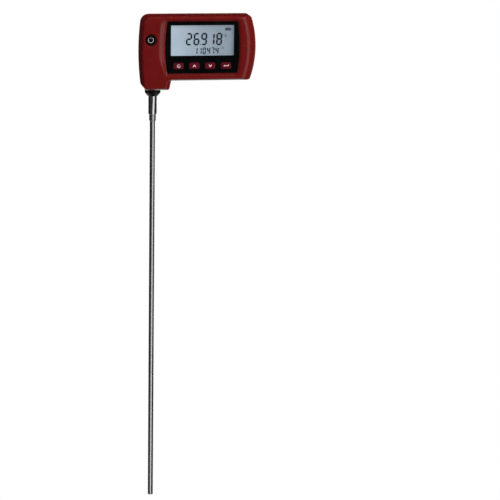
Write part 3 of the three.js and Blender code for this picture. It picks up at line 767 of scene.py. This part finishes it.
def window_material():
    """Clear sheet that reflects from its outer side only, with faint smears."""
    graph = start_material("window_clear")
    tint = graph.mix(graph.remap(graph.noise(scale=90, detail=3), (0.3, 0.7)),
                     (0.94, 0.96, 0.965, 1), (0.97, 0.98, 0.98, 1))
    clear = graph.add("BsdfTransparent", {0: tint}).outputs[0]
    gloss = graph.remap(graph.noise(scale=700, detail=4, rough=0.6), (0.3, 0.8), (0.03, 0.12))
    smears = graph.bump(graph.noise(stretch=(300, 300, 3600)), strength=0.03, distance=0.00003)
    mirror = graph.add("BsdfGlossy", {"Roughness": gloss, "Normal": smears}).outputs[0]
    fresnel = graph.add("Fresnel", {0: 1.45}).outputs[0]
    outer = graph.flip(graph.add("NewGeometry").outputs["Backfacing"])
    graph.finish(graph.mix_shader(graph.calc("MULTIPLY", fresnel, outer), clear, mirror))


def floor_material():
    graph = start_material("floor_pale")
    base = graph.mix(graph.remap(graph.noise(scale=1.5, detail=3), (0.3, 0.7)),
                     (0.80, 0.80, 0.80, 1), (0.82, 0.82, 0.82, 1))
    paper = graph.add("BsdfPrincipled", {"Base Color": base, "Roughness": 0.9,
                                         "Specular IOR Level": 0.0}).outputs[0]
    # seen directly it is paper white, no brighter, so thin edges are not eaten
    white = graph.add("Emission", {0: (1, 1, 1, 1), 1: 1.0}).outputs[0]
    direct = graph.add("LightPath").outputs["Is Camera Ray"]
    graph.finish(graph.mix_shader(direct, paper, white))


# ---------------------------------------------------------------- materials
RED = (0.150, 0.0052, 0.0044)
SHELL = dict(vary=0.10, peel_scale=1500, wear=0.22)
# the front shell also gets painted shade by the display surround and the power button
for name in ("red_shell", "red_shell_front"):
    plastic(name, RED, rough=0.23, peel=0.22, scratch=0.05, painted_shade=name == "red_shell_front",
            **SHELL)
plastic("red_shell_rear", RED, rough=0.27, scratch=0.07, **SHELL)
plastic("black_panel", (0.0014, 0.0019, 0.0021), rough=0.14, vary=0.25, peel=0.05,
        peel_scale=500, scratch=0.10)
plastic("key_red", (0.112, 0.0048, 0.0105), rough=0.24, vary=0.14, peel=0.15, peel_scale=2600,
        grain=0.08, wear=0.15, scratch=0.05, spec=0.25)
plastic("icon_print", (0.92, 0.66, 0.68), rough=0.5, vary=0.08, peel=0.1, peel_scale=3000,
        scratch=0.03)
plastic("power_icon_print", (0.46, 0.43, 0.43), rough=0.5, peel=0.1, peel_scale=3000,
        scratch=0.03)
plastic("black_rubber", (0.0030, 0.0028, 0.0028), rough=0.45, vary=0.25, peel=0.2,
        peel_scale=2200, grain=0.3, scratch=0.04, spec=0.2)
plastic("gland_black", (0.0092, 0.0084, 0.0080), rough=0.36, vary=0.2, peel=0.3,
        peel_scale=2400, grain=0.2, wear=0.15, scratch=0.05, spec=0.25)
metal("stainless", (0.60, 0.60, 0.605), rough=0.25)
metal("stainless_turned", (0.66, 0.655, 0.66), rough=0.15, turned=True)
metal("stainless_crimped", (0.56, 0.555, 0.56), rough=0.30, turned=True)
metal("zinc_screw", (0.48, 0.48, 0.5), rough=0.3, turned=True)
metal("nickel", (0.58, 0.55, 0.50), rough=0.26, turned=True)
plastic("white_plastic", (0.72, 0.70, 0.64), rough=0.45, vary=0.06)
plastic("frame_plastic", (0.018, 0.02, 0.024), rough=0.5, vary=0.15, grain=0.3)
plastic("backlight", (0.8, 0.82, 0.86), rough=0.4, vary=0.03)
plastic("ceramic", (0.74, 0.70, 0.62), rough=0.6, vary=0.06, grain=0.3)
plastic("wire_red", (0.36, 0.018, 0.014), rough=0.42)
plastic("wire_white", (0.68, 0.66, 0.60), rough=0.42, vary=0.05)
plastic("potting", (0.028, 0.022, 0.018), rough=0.35, vary=0.25)
plastic("pcb", (0.012, 0.085, 0.028), rough=0.35, vary=0.2, peel=0.1)
plastic("chip_black", (0.010, 0.010, 0.011), rough=0.55, vary=0.2, grain=0.5)
plastic("zebra", (0.22, 0.03, 0.12), rough=0.6)
plastic("cell_wrap", (0.035, 0.06, 0.10), rough=0.3, peel=0.08)
plastic("label_silver", (0.46, 0.47, 0.48), rough=0.34, vary=0.06, peel=0.1, peel_scale=4000)
lcd_material()
window_material()
plastic("segment_ink", (0.006, 0.013, 0.020), rough=0.45, vary=0.15, peel=0.05)


# ---------------------------------------------------------------- red covers
def build_covers():
    step = 0.5
    mesh = net(front_cover, (LEFT_X - 1.6, FACE_Y - 1.3, -1.2),
               (RIGHT_X + 1.6, PART_Y + 1.2, HEAD_HEIGHT + 1.2), step)
    part("front_cover_shell", mesh, "red_shell_front", "head", "red_shell", "front_cover")
    mesh = net(rear_cover, (LEFT_X - 1.63, PART_Y - 1.13, -1.23),
               (RIGHT_X + 1.6, BACK_Y + 1.2, HEAD_HEIGHT + 1.2), step + 0.05)
    part("rear_cover_shell", mesh, "red_shell_rear", "head", "red_shell", "rear_cover")
    x0, x1, z0, z1 = grown(DOOR, 1.1)
    mesh = net(battery_door, (x0, 13.6, z0), (x1, BACK_Y + 1.1, z1), 0.45)
    part("battery_cover_door", mesh, "red_shell_rear", "battery_door", "red_shell",
         "battery_cover")


# ---------------------------------------------------------------- surround, window, display
def bezel_loop():
    """Flat top and bottom, sides bowed outwards, corners rounded."""
    def bow(z):
        return (z - BEZEL_MID_Z) ** 2 / (2 * BEZEL_RADIUS)

    def corner(z):
        return 2.0 if z in (BEZEL_Z0, BEZEL_Z1) else 0

    count = 24
    right = [(BEZEL_X1 - bow(z), z, corner(z)) for z in np.linspace(BEZEL_Z0, BEZEL_Z1, count)]
    left = [(BEZEL_X0 + bow(z), z, corner(z)) for z in np.linspace(BEZEL_Z1, BEZEL_Z0, count)]
    return rounded(left[-1:] + right + left[:-1], steps=7, limit=0.9)


def build_display():
    holes = [rect_loop(WINDOW, 0.8, 6)]
    holes += [rect_loop(around(x, KEY_Z, 6.4, 4.15), 2.3) for x in KEY_XS]
    mesh = panel(bezel_loop(), holes, BEZEL_DEPTH, bevel=0.28, steps=4)
    part("bezel_surround", mesh, "black_panel", "head", "black_panel", "bezel_panel", sharp=32)
    mesh = panel(rect_loop(rect_of("display_window"), 0.9, 6), [],
                 depth_of("display_window"), bevel=0.12, steps=2)
    part("window_lens", mesh, "window_clear", "head", "window_clear", "display_window", sharp=32)
    mesh = panel(rect_loop(rect_of("lcd_glass"), 0.4, 4), [], depth_of("lcd_glass"),
                 bevel=0.1, steps=2)
    part("lcd_cell", mesh, "lcd_face", "head", "lcd", "lcd_glass", sharp=32)


# strokes of a seven-segment figure: start and end as shares of its width and height
SEGMENTS = {"a": ((0, 1), (1, 1)), "b": ((1, 1), (1, .5)), "c": ((1, .5), (1, 0)),
            "d": ((0, 0), (1, 0)), "e": ((0, .5), (0, 0)), "f": ((0, 1), (0, .5)),
            "g": ((0, .5), (1, .5))}
LIT = {"0": "abcdef", "1": "bc", "2": "abged", "4": "fgbc",
       "6": "afgecd", "7": "abc", "8": "abcdefg", "9": "abcdfg"}
INK_BACK = depth_of("lcd_glass")[0] - 0.01
INK_FRONT = INK_BACK - 0.06
ink_bodies = []


def lcd_place(across, down):
    """Head x and z of a place given as shares of the window from its top left corner."""
    x0, x1, z0, z1 = WINDOW
    return x0 + across * (x1 - x0) + 0.55, z1 - down * (z1 - z0) - 0.49


def bar(x0, x1, z0, z1):
    return [(x0, z0), (x1, z0), (x1, z1), (x0, z1)]


def ink(loop):
    loop = anticlockwise(loop)
    ink_bodies.append([(loop, INK_FRONT), (loop, INK_BACK)])


def ink_arc(x, z, inner, outer, start, end):
    count = 16
    for k in range(count):
        a, b = [math.radians(start + (end - start) * i / count) for i in (k, k + 1)]
        ink([(x + radius * math.cos(angle), z + radius * math.sin(angle))
             for radius, angle in ((inner, a), (outer, a), (outer, b), (inner, b))])


def figure(digit, x, z, width, height, stroke, lean=0.05):
    """x, z: lower left of the centre lines; width and height are between centre lines."""
    half = stroke / 2
    for key in LIT[digit]:
        start, end = [np.array([x + a * width, z + b * height]) for a, b in SEGMENTS[key]]
        along = end - start
        along /= np.linalg.norm(along)
        side = np.array([-along[1], along[0]])
        start, end = start + along * stroke * 0.05, end - along * stroke * 0.05
        corners = [start, start + along * half - side * half, end - along * half - side * half,
                   end, end - along * half + side * half, start + along * half + side * half]
        ink([(p[0] + (p[1] - z) * lean, p[1]) for p in corners])


def number(digits, left, bottom, pitch, width, height, stroke):
    """A row of figures; all but the stroke are shares of the window."""
    x0, x1, z0, z1 = WINDOW
    for i, digit in enumerate(digits):
        x, z = lcd_place(left + i * pitch, bottom)
        figure(digit, x + stroke / 2, z + stroke / 2, width * (x1 - x0) - stroke,
               height * (z1 - z0) - stroke, stroke)


def decimal_point(across, down, size):
    x, z = lcd_place(across, down)
    ink(bar(x, x + size, z, z + size))


def battery_mark():
    x0, z0 = lcd_place(0.857, 0.182)
    x1, z1 = lcd_place(0.945, 0.080)
    line = 0.35
    for rect in ((x0, x1, z0, z0 + line), (x0, x1, z1 - line, z1),
                 (x0, x0 + line, z0 + line, z1 - line), (x1 - line, x1, z0 + line, z1 - line),
                 (x1, x1 + 0.6, z0 + 0.8, z1 - 0.8)):
        ink(bar(*rect))
    width = (x1 - x0 - 1.5) / 3
    for k in range(3):
        left = x0 + 0.6 + k * (width + 0.12)
        ink(bar(left, left + width - 0.15, z0 + 0.65, z1 - 0.65))


def build_segments():
    number("26918", left=0.232, bottom=0.660, pitch=0.1199, width=0.0965, height=0.412,
           stroke=2.05)
    decimal_point(0.2326 + 0.1199 + 0.107, 0.652, size=1.1)
    number("110474", left=0.366, bottom=0.962, pitch=0.0672, width=0.0535, height=0.240,
           stroke=1.4)
    decimal_point(0.366 + 0.0672 * 3 - 0.0125, 0.962, size=0.7)
    # degree ring, C, and the ohm sign's loop and feet
    ink_arc(*lcd_place(0.842, 0.325), 0.28, 0.62, 0, 360)
    ink_arc(*lcd_place(0.872, 0.352), 0.85, 1.35, 50, 310)
    x, z = lcd_place(0.822, 0.752)
    ink_arc(x, z, 0.75, 1.15, -50, 230)
    for side in (-1, 1):
        ink(bar(x + side * 0.5, x + side * 1.25, z - 1.15, z - 0.78))
    battery_mark()
    part("lcd_segments", stack(*ink_bodies), "segment_ink", "head", "lcd")


# ---------------------------------------------------------------- keys, power button, marks
def key_cap(node, x):
    """Stem, flange and domed cap, from back to front."""
    front, back = depth_of(node)
    half_x, half_z, edge, corner = 6.15, 3.9, 0.75, 2.1
    cap = around(x, KEY_Z, half_x, half_z)
    stem = rect_loop(around(x, KEY_Z, 1.5, 1.5), 1.4)
    flange = rect_loop(around(x, KEY_Z, 7.2, 4.8), 1.6)
    levels = [(stem, back), (stem, -16.02), (flange, -16.0), (flange, -17.0),
              (rect_loop(cap, corner), -17.02)]
    for k in range(7):
        angle = math.pi / 2 * k / 6
        inset = edge * (1 - math.cos(angle))
        levels.append((rect_loop(grown(cap, -inset), max(corner - inset, 0.9)),
                       front + 0.14 + edge * (1 - math.sin(angle))))
    # the dome: share of the top's size, depth behind the foremost point
    for share, sink in ((0.8, 0.1), (0.55, 0.055), (0.28, 0.016), (0.06, 0.0)):
        top = around(x, KEY_Z, (half_x - edge) * share, (half_z - edge) * share)
        levels.append((rect_loop(top, 1.2 * share), front + sink))
    part(node + "_cap", stack(levels), "key_red", KEY_BODIES[node], "key_red", node, sharp=38)


def mark(node, body, spot, loops, front, material="icon_print", slot="key_red", thick=0.09):
    """Raised print with a bevelled front edge; loops are (x, z) from the spot."""
    bodies = []
    for loop in loops:
        loop = anticlockwise(loop) + np.array(spot)
        bodies.append([(offset_loop(loop, 0.04), front), (loop, front + 0.04),
                       (loop, front + thick)])
    part(node + "_mark", stack(*bodies), material, body, slot)


def band(x, z, inner, outer, start, end, count):
    def arc(radius, first, last):
        angles = [math.radians(first + (last - first) * k / count) for k in range(count + 1)]
        return [(x + radius * math.cos(a), z + radius * math.sin(a)) for a in angles]

    return arc(outer, start, end) + arc(inner, end, start)


# outlines (x, z) from the key's centre
KEY_MARKS = {
    "key_mode": [band(0, -0.1, 1.45, 2.0, 2, 178, 14), band(0, -0.1, 1.45, 2.0, 182, 358, 14),
                 bar(-0.85, 0.85, -0.3, 0.1)],
    "key_up": [[(-2.1, -1.25), (-1.05, -1.25), (0, 0.35), (1.05, -1.25), (2.1, -1.25),
                (0.45, 1.45), (-0.45, 1.45)]],
    "key_down": [[(-2.1, 1.35), (-1.05, 1.35), (0, -0.25), (1.05, 1.35), (2.1, 1.35),
                  (0.45, -1.35), (-0.45, -1.35)]],
    "key_enter": [[(-3.3, 0.0), (-1.3, -1.15), (-1.3, -0.38), (3.2, -0.38), (3.2, 1.35),
                   (2.35, 1.35), (2.35, 0.38), (-1.3, 0.38), (-1.3, 1.15)]],
}


def build_keys():
    for node, x in zip(KEY_BODIES, KEY_XS):
        key_cap(node, x)
    front = depth_of("key_up")[0] - 0.03
    for (node, body), x in zip(KEY_BODIES.items(), KEY_XS):
        mark(node, body, (x, KEY_Z), KEY_MARKS[node], front)


def build_power_button():
    front, back = depth_of("power_button")
    # radius, y: dished top, skirt, flange, stem
    profile = [(0, front + 0.30), (2.4, front + 0.24), (4.0, front + 0.08), (4.8, front),
               (5.35, front + 0.08), (5.75, front + 0.33), (5.95, front + 0.75),
               (6.02, front + 1.3), (6.02, -19.62), (6.8, -19.6), (6.8, -18.6),
               (2.0, -18.58), (2.0, back), (0, back)]
    part("power_button_cap", lathe(profile, spot=POWER), "black_rubber", "power_key",
         "black_rubber", "power_button", sharp=40)
    loops = [band(-0.15, 0.35, 2.75, 3.45, 128, 412, 40), bar(-0.4, 0.1, 1.9, 3.9)]
    mark("power_button", "power_key", POWER, loops, front,
         material="power_icon_print", slot="black_rubber", thick=0.34)


# ---------------------------------------------------------------- gland and probe
def turned(node, kind, profile, material, body="probe", slot="stainless", segments=128, steps=5):
    """Turned part on the probe's axis; profile rows are radius, z, corner rounding."""
    part(f"{node}_{kind}", lathe(rounded(profile, steps), segments), material, body, slot,
         node, sharp=40)


def build_probe():
    low, high = box_mm("gland_collar")
    z0, z1, radius = low[2], high[2], (high[0] - low[0]) / 2
    turned("gland_collar", "nut", [
        (5.2, z0, 0.15), (6.3, z0, 0.5), (9.2, z0 + 3.75, 1.2), (radius, z0 + 4.4, 0.8),
        (radius, z0 + 6.0, 0.05), (radius - 0.22, z0 + 6.15, 0.05),
        (radius - 0.22, z0 + 6.45, 0.05), (radius, z0 + 6.6, 0.05), (radius, z1 - 0.35, 0.3),
        (radius - 0.35, z1, 0.3), (7.3, z1, 0.2), (7.3, z0 + 2.5, 0.2), (5.2, z0 + 2.5, 0.2),
    ], "gland_black", body="head", slot="gland_black")

    z0, z1 = [end[2] for end in box_mm("probe_hub")]
    bore, radius, groove = 4.15, 5.05, 4.6
    turned("probe_hub", "tube", [
        (bore, z0, 0.1), (radius, z0, 0.4), (radius, z1 - 3.45, 0.08),
        (groove, z1 - 3.45, 0.08), (groove, z1 - 2.35, 0.08), (radius, z1 - 2.35, 0.08),
        (radius, z1, 0.25), (bore, z1, 0.1),
    ], "stainless_turned")

    z0, z1 = [end[2] for end in box_mm("probe_ferrule")]
    turned("probe_ferrule", "sleeve", [
        (3.235, z0, 0.1), (4.05, z0, 0.7), (4.05, z1, 0.15), (3.235, z1, 0.1),
    ], "stainless_crimped", steps=6)

    z0, z1 = [end[2] for end in box_mm("probe_sheath")]
    bore, radius = 2.675, 3.175
    turned("probe_sheath", "tube", [
        (bore, z0, 0.0), (radius, z0, 0.22),
        *[(radius, z, 0) for z in np.linspace(z0 + 2, z1 - 2, 24)],
        (radius, z1, 0.1), (bore, z1, 0.0),
    ], "stainless", segments=96)

    z0, z1 = [end[2] for end in box_mm("tip_plug")]
    turned("tip_plug", "disc", [(0, z0, 0), (2.62, z0, 0.05), (2.62, z1, 0.1), (0, z1, 0)],
           "stainless_turned", segments=96, steps=3)


# ---------------------------------------------------------------- screws, label
def screw_head(spot, seat, top, radius, neck_radius, neck_end, slot):
    """Domed head from y = seat to top with a cross slot of the given half width, and the start
    of its shank down to y = neck_end."""
    spot_x, spot_z = spot
    angle = math.radians(20 + 37 * (spot_x * 7 % 5))
    cos, sin = math.cos(angle), math.sin(angle)

    def shape(x, y, z):
        distance = np.hypot(x - spot_x, z - spot_z)
        dome = y - top + 0.11 * np.maximum(distance - 0.5 * radius, 0) ** 2
        head = soft_max(common(distance - radius, seat - y), dome, 0.35)
        neck = common(distance - neck_radius, slab(y, neck_end, seat + 0.3))
        body = np.minimum(head, neck)
        first = (x - spot_x) * cos + (z - spot_z) * sin
        second = -(x - spot_x) * sin + (z - spot_z) * cos
        for across, along in ((first, second), (second, first)):
            arm = common(np.abs(across) - slot, np.abs(along) - radius * 0.62)
            body = cut(body, common(arm, top - 0.95 + 0.45 * np.abs(along) - y), 0.12)
        return body

    x0, x1, z0, z1 = around(*spot, radius + 0.4, radius + 0.4)
    return net(shape, (x0, neck_end - 0.4, z0), (x1, top + 0.4, z1), 0.2)


def screws(prefix, body, spots, head, shank):
    """The shank goes on from the neck to the tip; its rows are radius, y."""
    top = head["neck_end"] + 0.1
    profile = [(0, shank[0][1]), *shank, (shank[-1][0], top), (0, top)]
    for i, spot in enumerate(spots, 1):
        name = f"{prefix}_{i}"
        part(name + "_head", screw_head(spot, **head), "zinc_screw", body, "zinc_screw")
        part(name + "_shank", lathe(profile, 32, spot), "zinc_screw", body, "zinc_screw", name,
             sharp=40)


def build_screws():
    screws("housing_screw", "head", SCREWS,
           dict(seat=12.1, top=14.0, radius=2.6, neck_radius=1.3, neck_end=9.0, slot=0.38),
           shank=[(0.9, -8.0), (1.28, -7.4)])
    screws("cover_screw", "battery_door", DOOR_SCREWS,
           dict(seat=16.35, top=17.0, radius=2.25, neck_radius=1.12, neck_end=12.0, slot=0.32),
           shank=[(0.8, 7.0), (1.1, 7.5)])


def build_label():
    loop, bevel = rect_loop(rect_of("rating_label"), 1.2, 6), 0.05
    y0, y1 = depth_of("rating_label")
    mesh = stack([(loop, y0), (loop, y1 - bevel), (offset_loop(loop, bevel), y1)])
    part("rating_label_plate", mesh, "label_silver", "head", "label_silver", "rating_label",
         sharp=40)


# ---------------------------------------------------------------- finishes for the CAD pieces kept
KEPT = {
    "ceramic": "sensor_element",
    "wire_red": "lead_wire_1 lead_wire_2",
    "wire_white": "lead_wire_3 lead_wire_4",
    "potting": "potting_plug",
    "white_plastic": "thrust_washer lead_socket lead_plug",
    "zinc_screw": "retaining_ring",
    "nickel": "gland_body dome_sheet power_dome battery_spring_1 battery_spring_2 "
              "battery_spring_3 contact_plate_left contact_plate_right",
    "black_rubber": "gland_seal housing_seal lcd_gasket lead_cable keypad_mat "
                    "battery_cover_seal",
    "backlight": "backlight_panel",
    "frame_plastic": "lcd_frame",
    "zebra": "zebra_strip",
    "pcb": "circuit_board",
    "chip_black": "processor_chip converter_chip",
    "cell_wrap": "battery_1 battery_2 battery_3",
}


def finish_kept_pieces():
    for material, nodes in KEPT.items():
        for node in nodes.split():
            ob = frame["nodes"][node]
            if not ob.material_slots:
                ob.data.materials.append(MATERIALS[material])
            for material_slot in ob.material_slots:
                material_slot.material = MATERIALS[material]


build_covers()
build_display()
build_segments()
build_keys()
build_power_button()
build_probe()
build_screws()
build_label()
finish_kept_pieces()

# ---------------------------------------------------------------- floor and world, in metres
scene = bpy.context.scene
scene.view_settings.view_transform = "Standard"
scene.view_settings.look = "None"
scene.view_settings.exposure = 0.0
scene.view_settings.gamma = 1.0


def build_floor():
    bpy.ops.mesh.primitive_circle_add(vertices=128, radius=30, fill_type="NGON",
                                      location=(0, 0, -0.0005))
    floor = bpy.context.object
    floor.name = "floor"
    floor_material()
    floor.data.materials.append(MATERIALS["floor_pale"])
    floor.visible_glossy = False
    floor.visible_shadow = False
    floor.visible_diffuse = False


def build_world():
    """White to the camera, soft light to rough surfaces, a dark room to polished ones."""
    world = bpy.data.worlds.new("studio")
    scene.world = world
    graph = Graph(world)
    world.cycles.sampling_method = "NONE"
    calc, remap = graph.calc, graph.remap
    rays = graph.add("LightPath").outputs
    x, y, z = graph.split(graph.coords["Generated"])

    def background(color, strength):
        return graph.add("Background", {"Color": color, "Strength": strength}).outputs[0]

    white = background((1.0, 1.0, 1.0, 1), 1.0)
    soft = background((0.98, 0.99, 1.0, 1), remap(z, (-0.30, 0.35), (0.15, 0.46)))
    # polished surfaces see white paper behind on the right and on the floor, and a faint left
    back = calc("MULTIPLY", remap(y, (0.05, 0.30), (0.0, 0.13)), remap(x, (0.02, 0.30)))
    back = calc("MULTIPLY", back, remap(z, (-0.12, -0.02), (1.0, 0.0)))
    down = calc("MULTIPLY", remap(z, (-0.45, -0.70), (0.0, 1.25)), remap(y, (0.10, 0.40)))
    left = calc("MULTIPLY", remap(x, (-0.20, -0.60), (0.0, 0.04)),
                remap(y, (0.0, 0.2), (1.0, 0.0)))
    glow = calc("MAXIMUM", calc("MAXIMUM", back, down), left)
    room = background((1, 1, 1, 1), calc("ADD", glow, 0.006))
    indirect = graph.mix_shader(rays["Is Glossy Ray"], soft, room)
    graph.finish(graph.mix_shader(rays["Is Camera Ray"], indirect, white), "OutputWorld")


# ---------------------------------------------------------------- lights
def area_light(name, location, target, width, height, power, glossy=True, diffuse=True):
    light = bpy.data.lights.new(name, "AREA")
    light.shape = "RECTANGLE"
    light.size, light.size_y, light.energy = width, height, power
    ob = bpy.data.objects.new(name, light)
    ob.location = location
    ob.rotation_mode = "QUATERNION"
    ob.rotation_quaternion = (Vector(target) - Vector(location)).to_track_quat("-Z", "Y")
    scene.collection.objects.link(ob)
    ob.visible_camera = False
    ob.visible_glossy = glossy
    ob.visible_diffuse = diffuse
    return ob


def softbox(name, location, target, width, height, radiance, diffuse=True):
    """Area light whose face is seen at the given radiance."""
    return area_light(name, location, target, width, height,
                      radiance * math.pi * width * height, diffuse=diffuse)


def build_lights():
    # a tall box to the front right, its azimuth measured from -Y towards +X
    azimuth, distance, target = math.radians(38.5), 1.7, (0.03, 0.0, 0.25)
    place = (target[0] + distance * math.sin(azimuth), -distance * math.cos(azimuth), target[2])
    right_box = softbox("softbox_right", place, target, width=0.70, height=4.6, radiance=1.0)
    # the steel is lit by its own leaning softbox, which the other pieces do not see
    steel_box = softbox("softbox_steel", (0.44, -1.65, -0.15), (0.0, 0.0, -0.17),
                        width=1.0, height=3.2, radiance=1.18, diffuse=False)
    lean = Quaternion((0, 0, 1), math.radians(-48))
    steel_box.rotation_quaternion = steel_box.rotation_quaternion @ lean
    steel_set = bpy.data.collections.new("steel_only")
    other_set = bpy.data.collections.new("all_but_steel")
    softbox("softbox_back", (0.55, 1.75, -1.0), (0.0, 0.0, -1.0),
            width=0.75, height=2.2, radiance=0.9, diffuse=False)
    steel = ("probe_hub_tube", "probe_ferrule_sleeve", "probe_sheath_tube", "tip_plug_disc")
    for ob in scene.objects:
        if ob.type == "MESH":
            (steel_set if ob.name in steel else other_set).objects.link(ob)
    steel_box.light_linking.receiver_collection = steel_set
    right_box.light_linking.receiver_collection = other_set

    head = (0.055, 0.0, (BASE_Z + 45) * MM)
    # name, location, side, power
    for name, place, side, power in (("fill_right", (1.0, -1.5, 1.3), 1.2, 26.5),
                                     ("top_soft", (0.1, -0.3, 2.1), 1.2, 4),
                                     ("back_fill", (0.3, 1.9, 1.2), 1.4, 34),
                                     ("left_fill", (-1.9, 0.5, 1.0), 1.0, 7)):
        area_light(name, place, head, side, side, power, glossy=False)


# ---------------------------------------------------------------- camera
def build_camera():
    camera = bpy.data.cameras.new("camera")
    ob = bpy.data.objects.new("camera", camera)
    scene.collection.objects.link(ob)
    scene.camera = ob
    # yaw from +Y towards +X, pitch downwards, roll about the line of sight
    yaw, pitch, tilt = math.radians(10.969), math.radians(14.16), math.radians(1.057)
    forward = Vector((math.sin(yaw) * math.cos(pitch), math.cos(yaw) * math.cos(pitch),
                      -math.sin(pitch)))
    level = forward.cross(Vector((0, 0, 1))).normalized()
    upright = level.cross(forward)
    right = math.cos(tilt) * level + math.sin(tilt) * upright
    up = -math.sin(tilt) * level + math.cos(tilt) * upright
    matrix = Matrix((right, up, -forward)).transposed().to_4x4()
    matrix.translation = (-0.3277, -2.3225, 0.9105)
    ob.matrix_world = matrix
    camera.sensor_width = 36
    camera.lens = 142.236
    camera.clip_start, camera.clip_end = 0.05, 60


build_floor()
build_world()
build_lights()
build_camera()
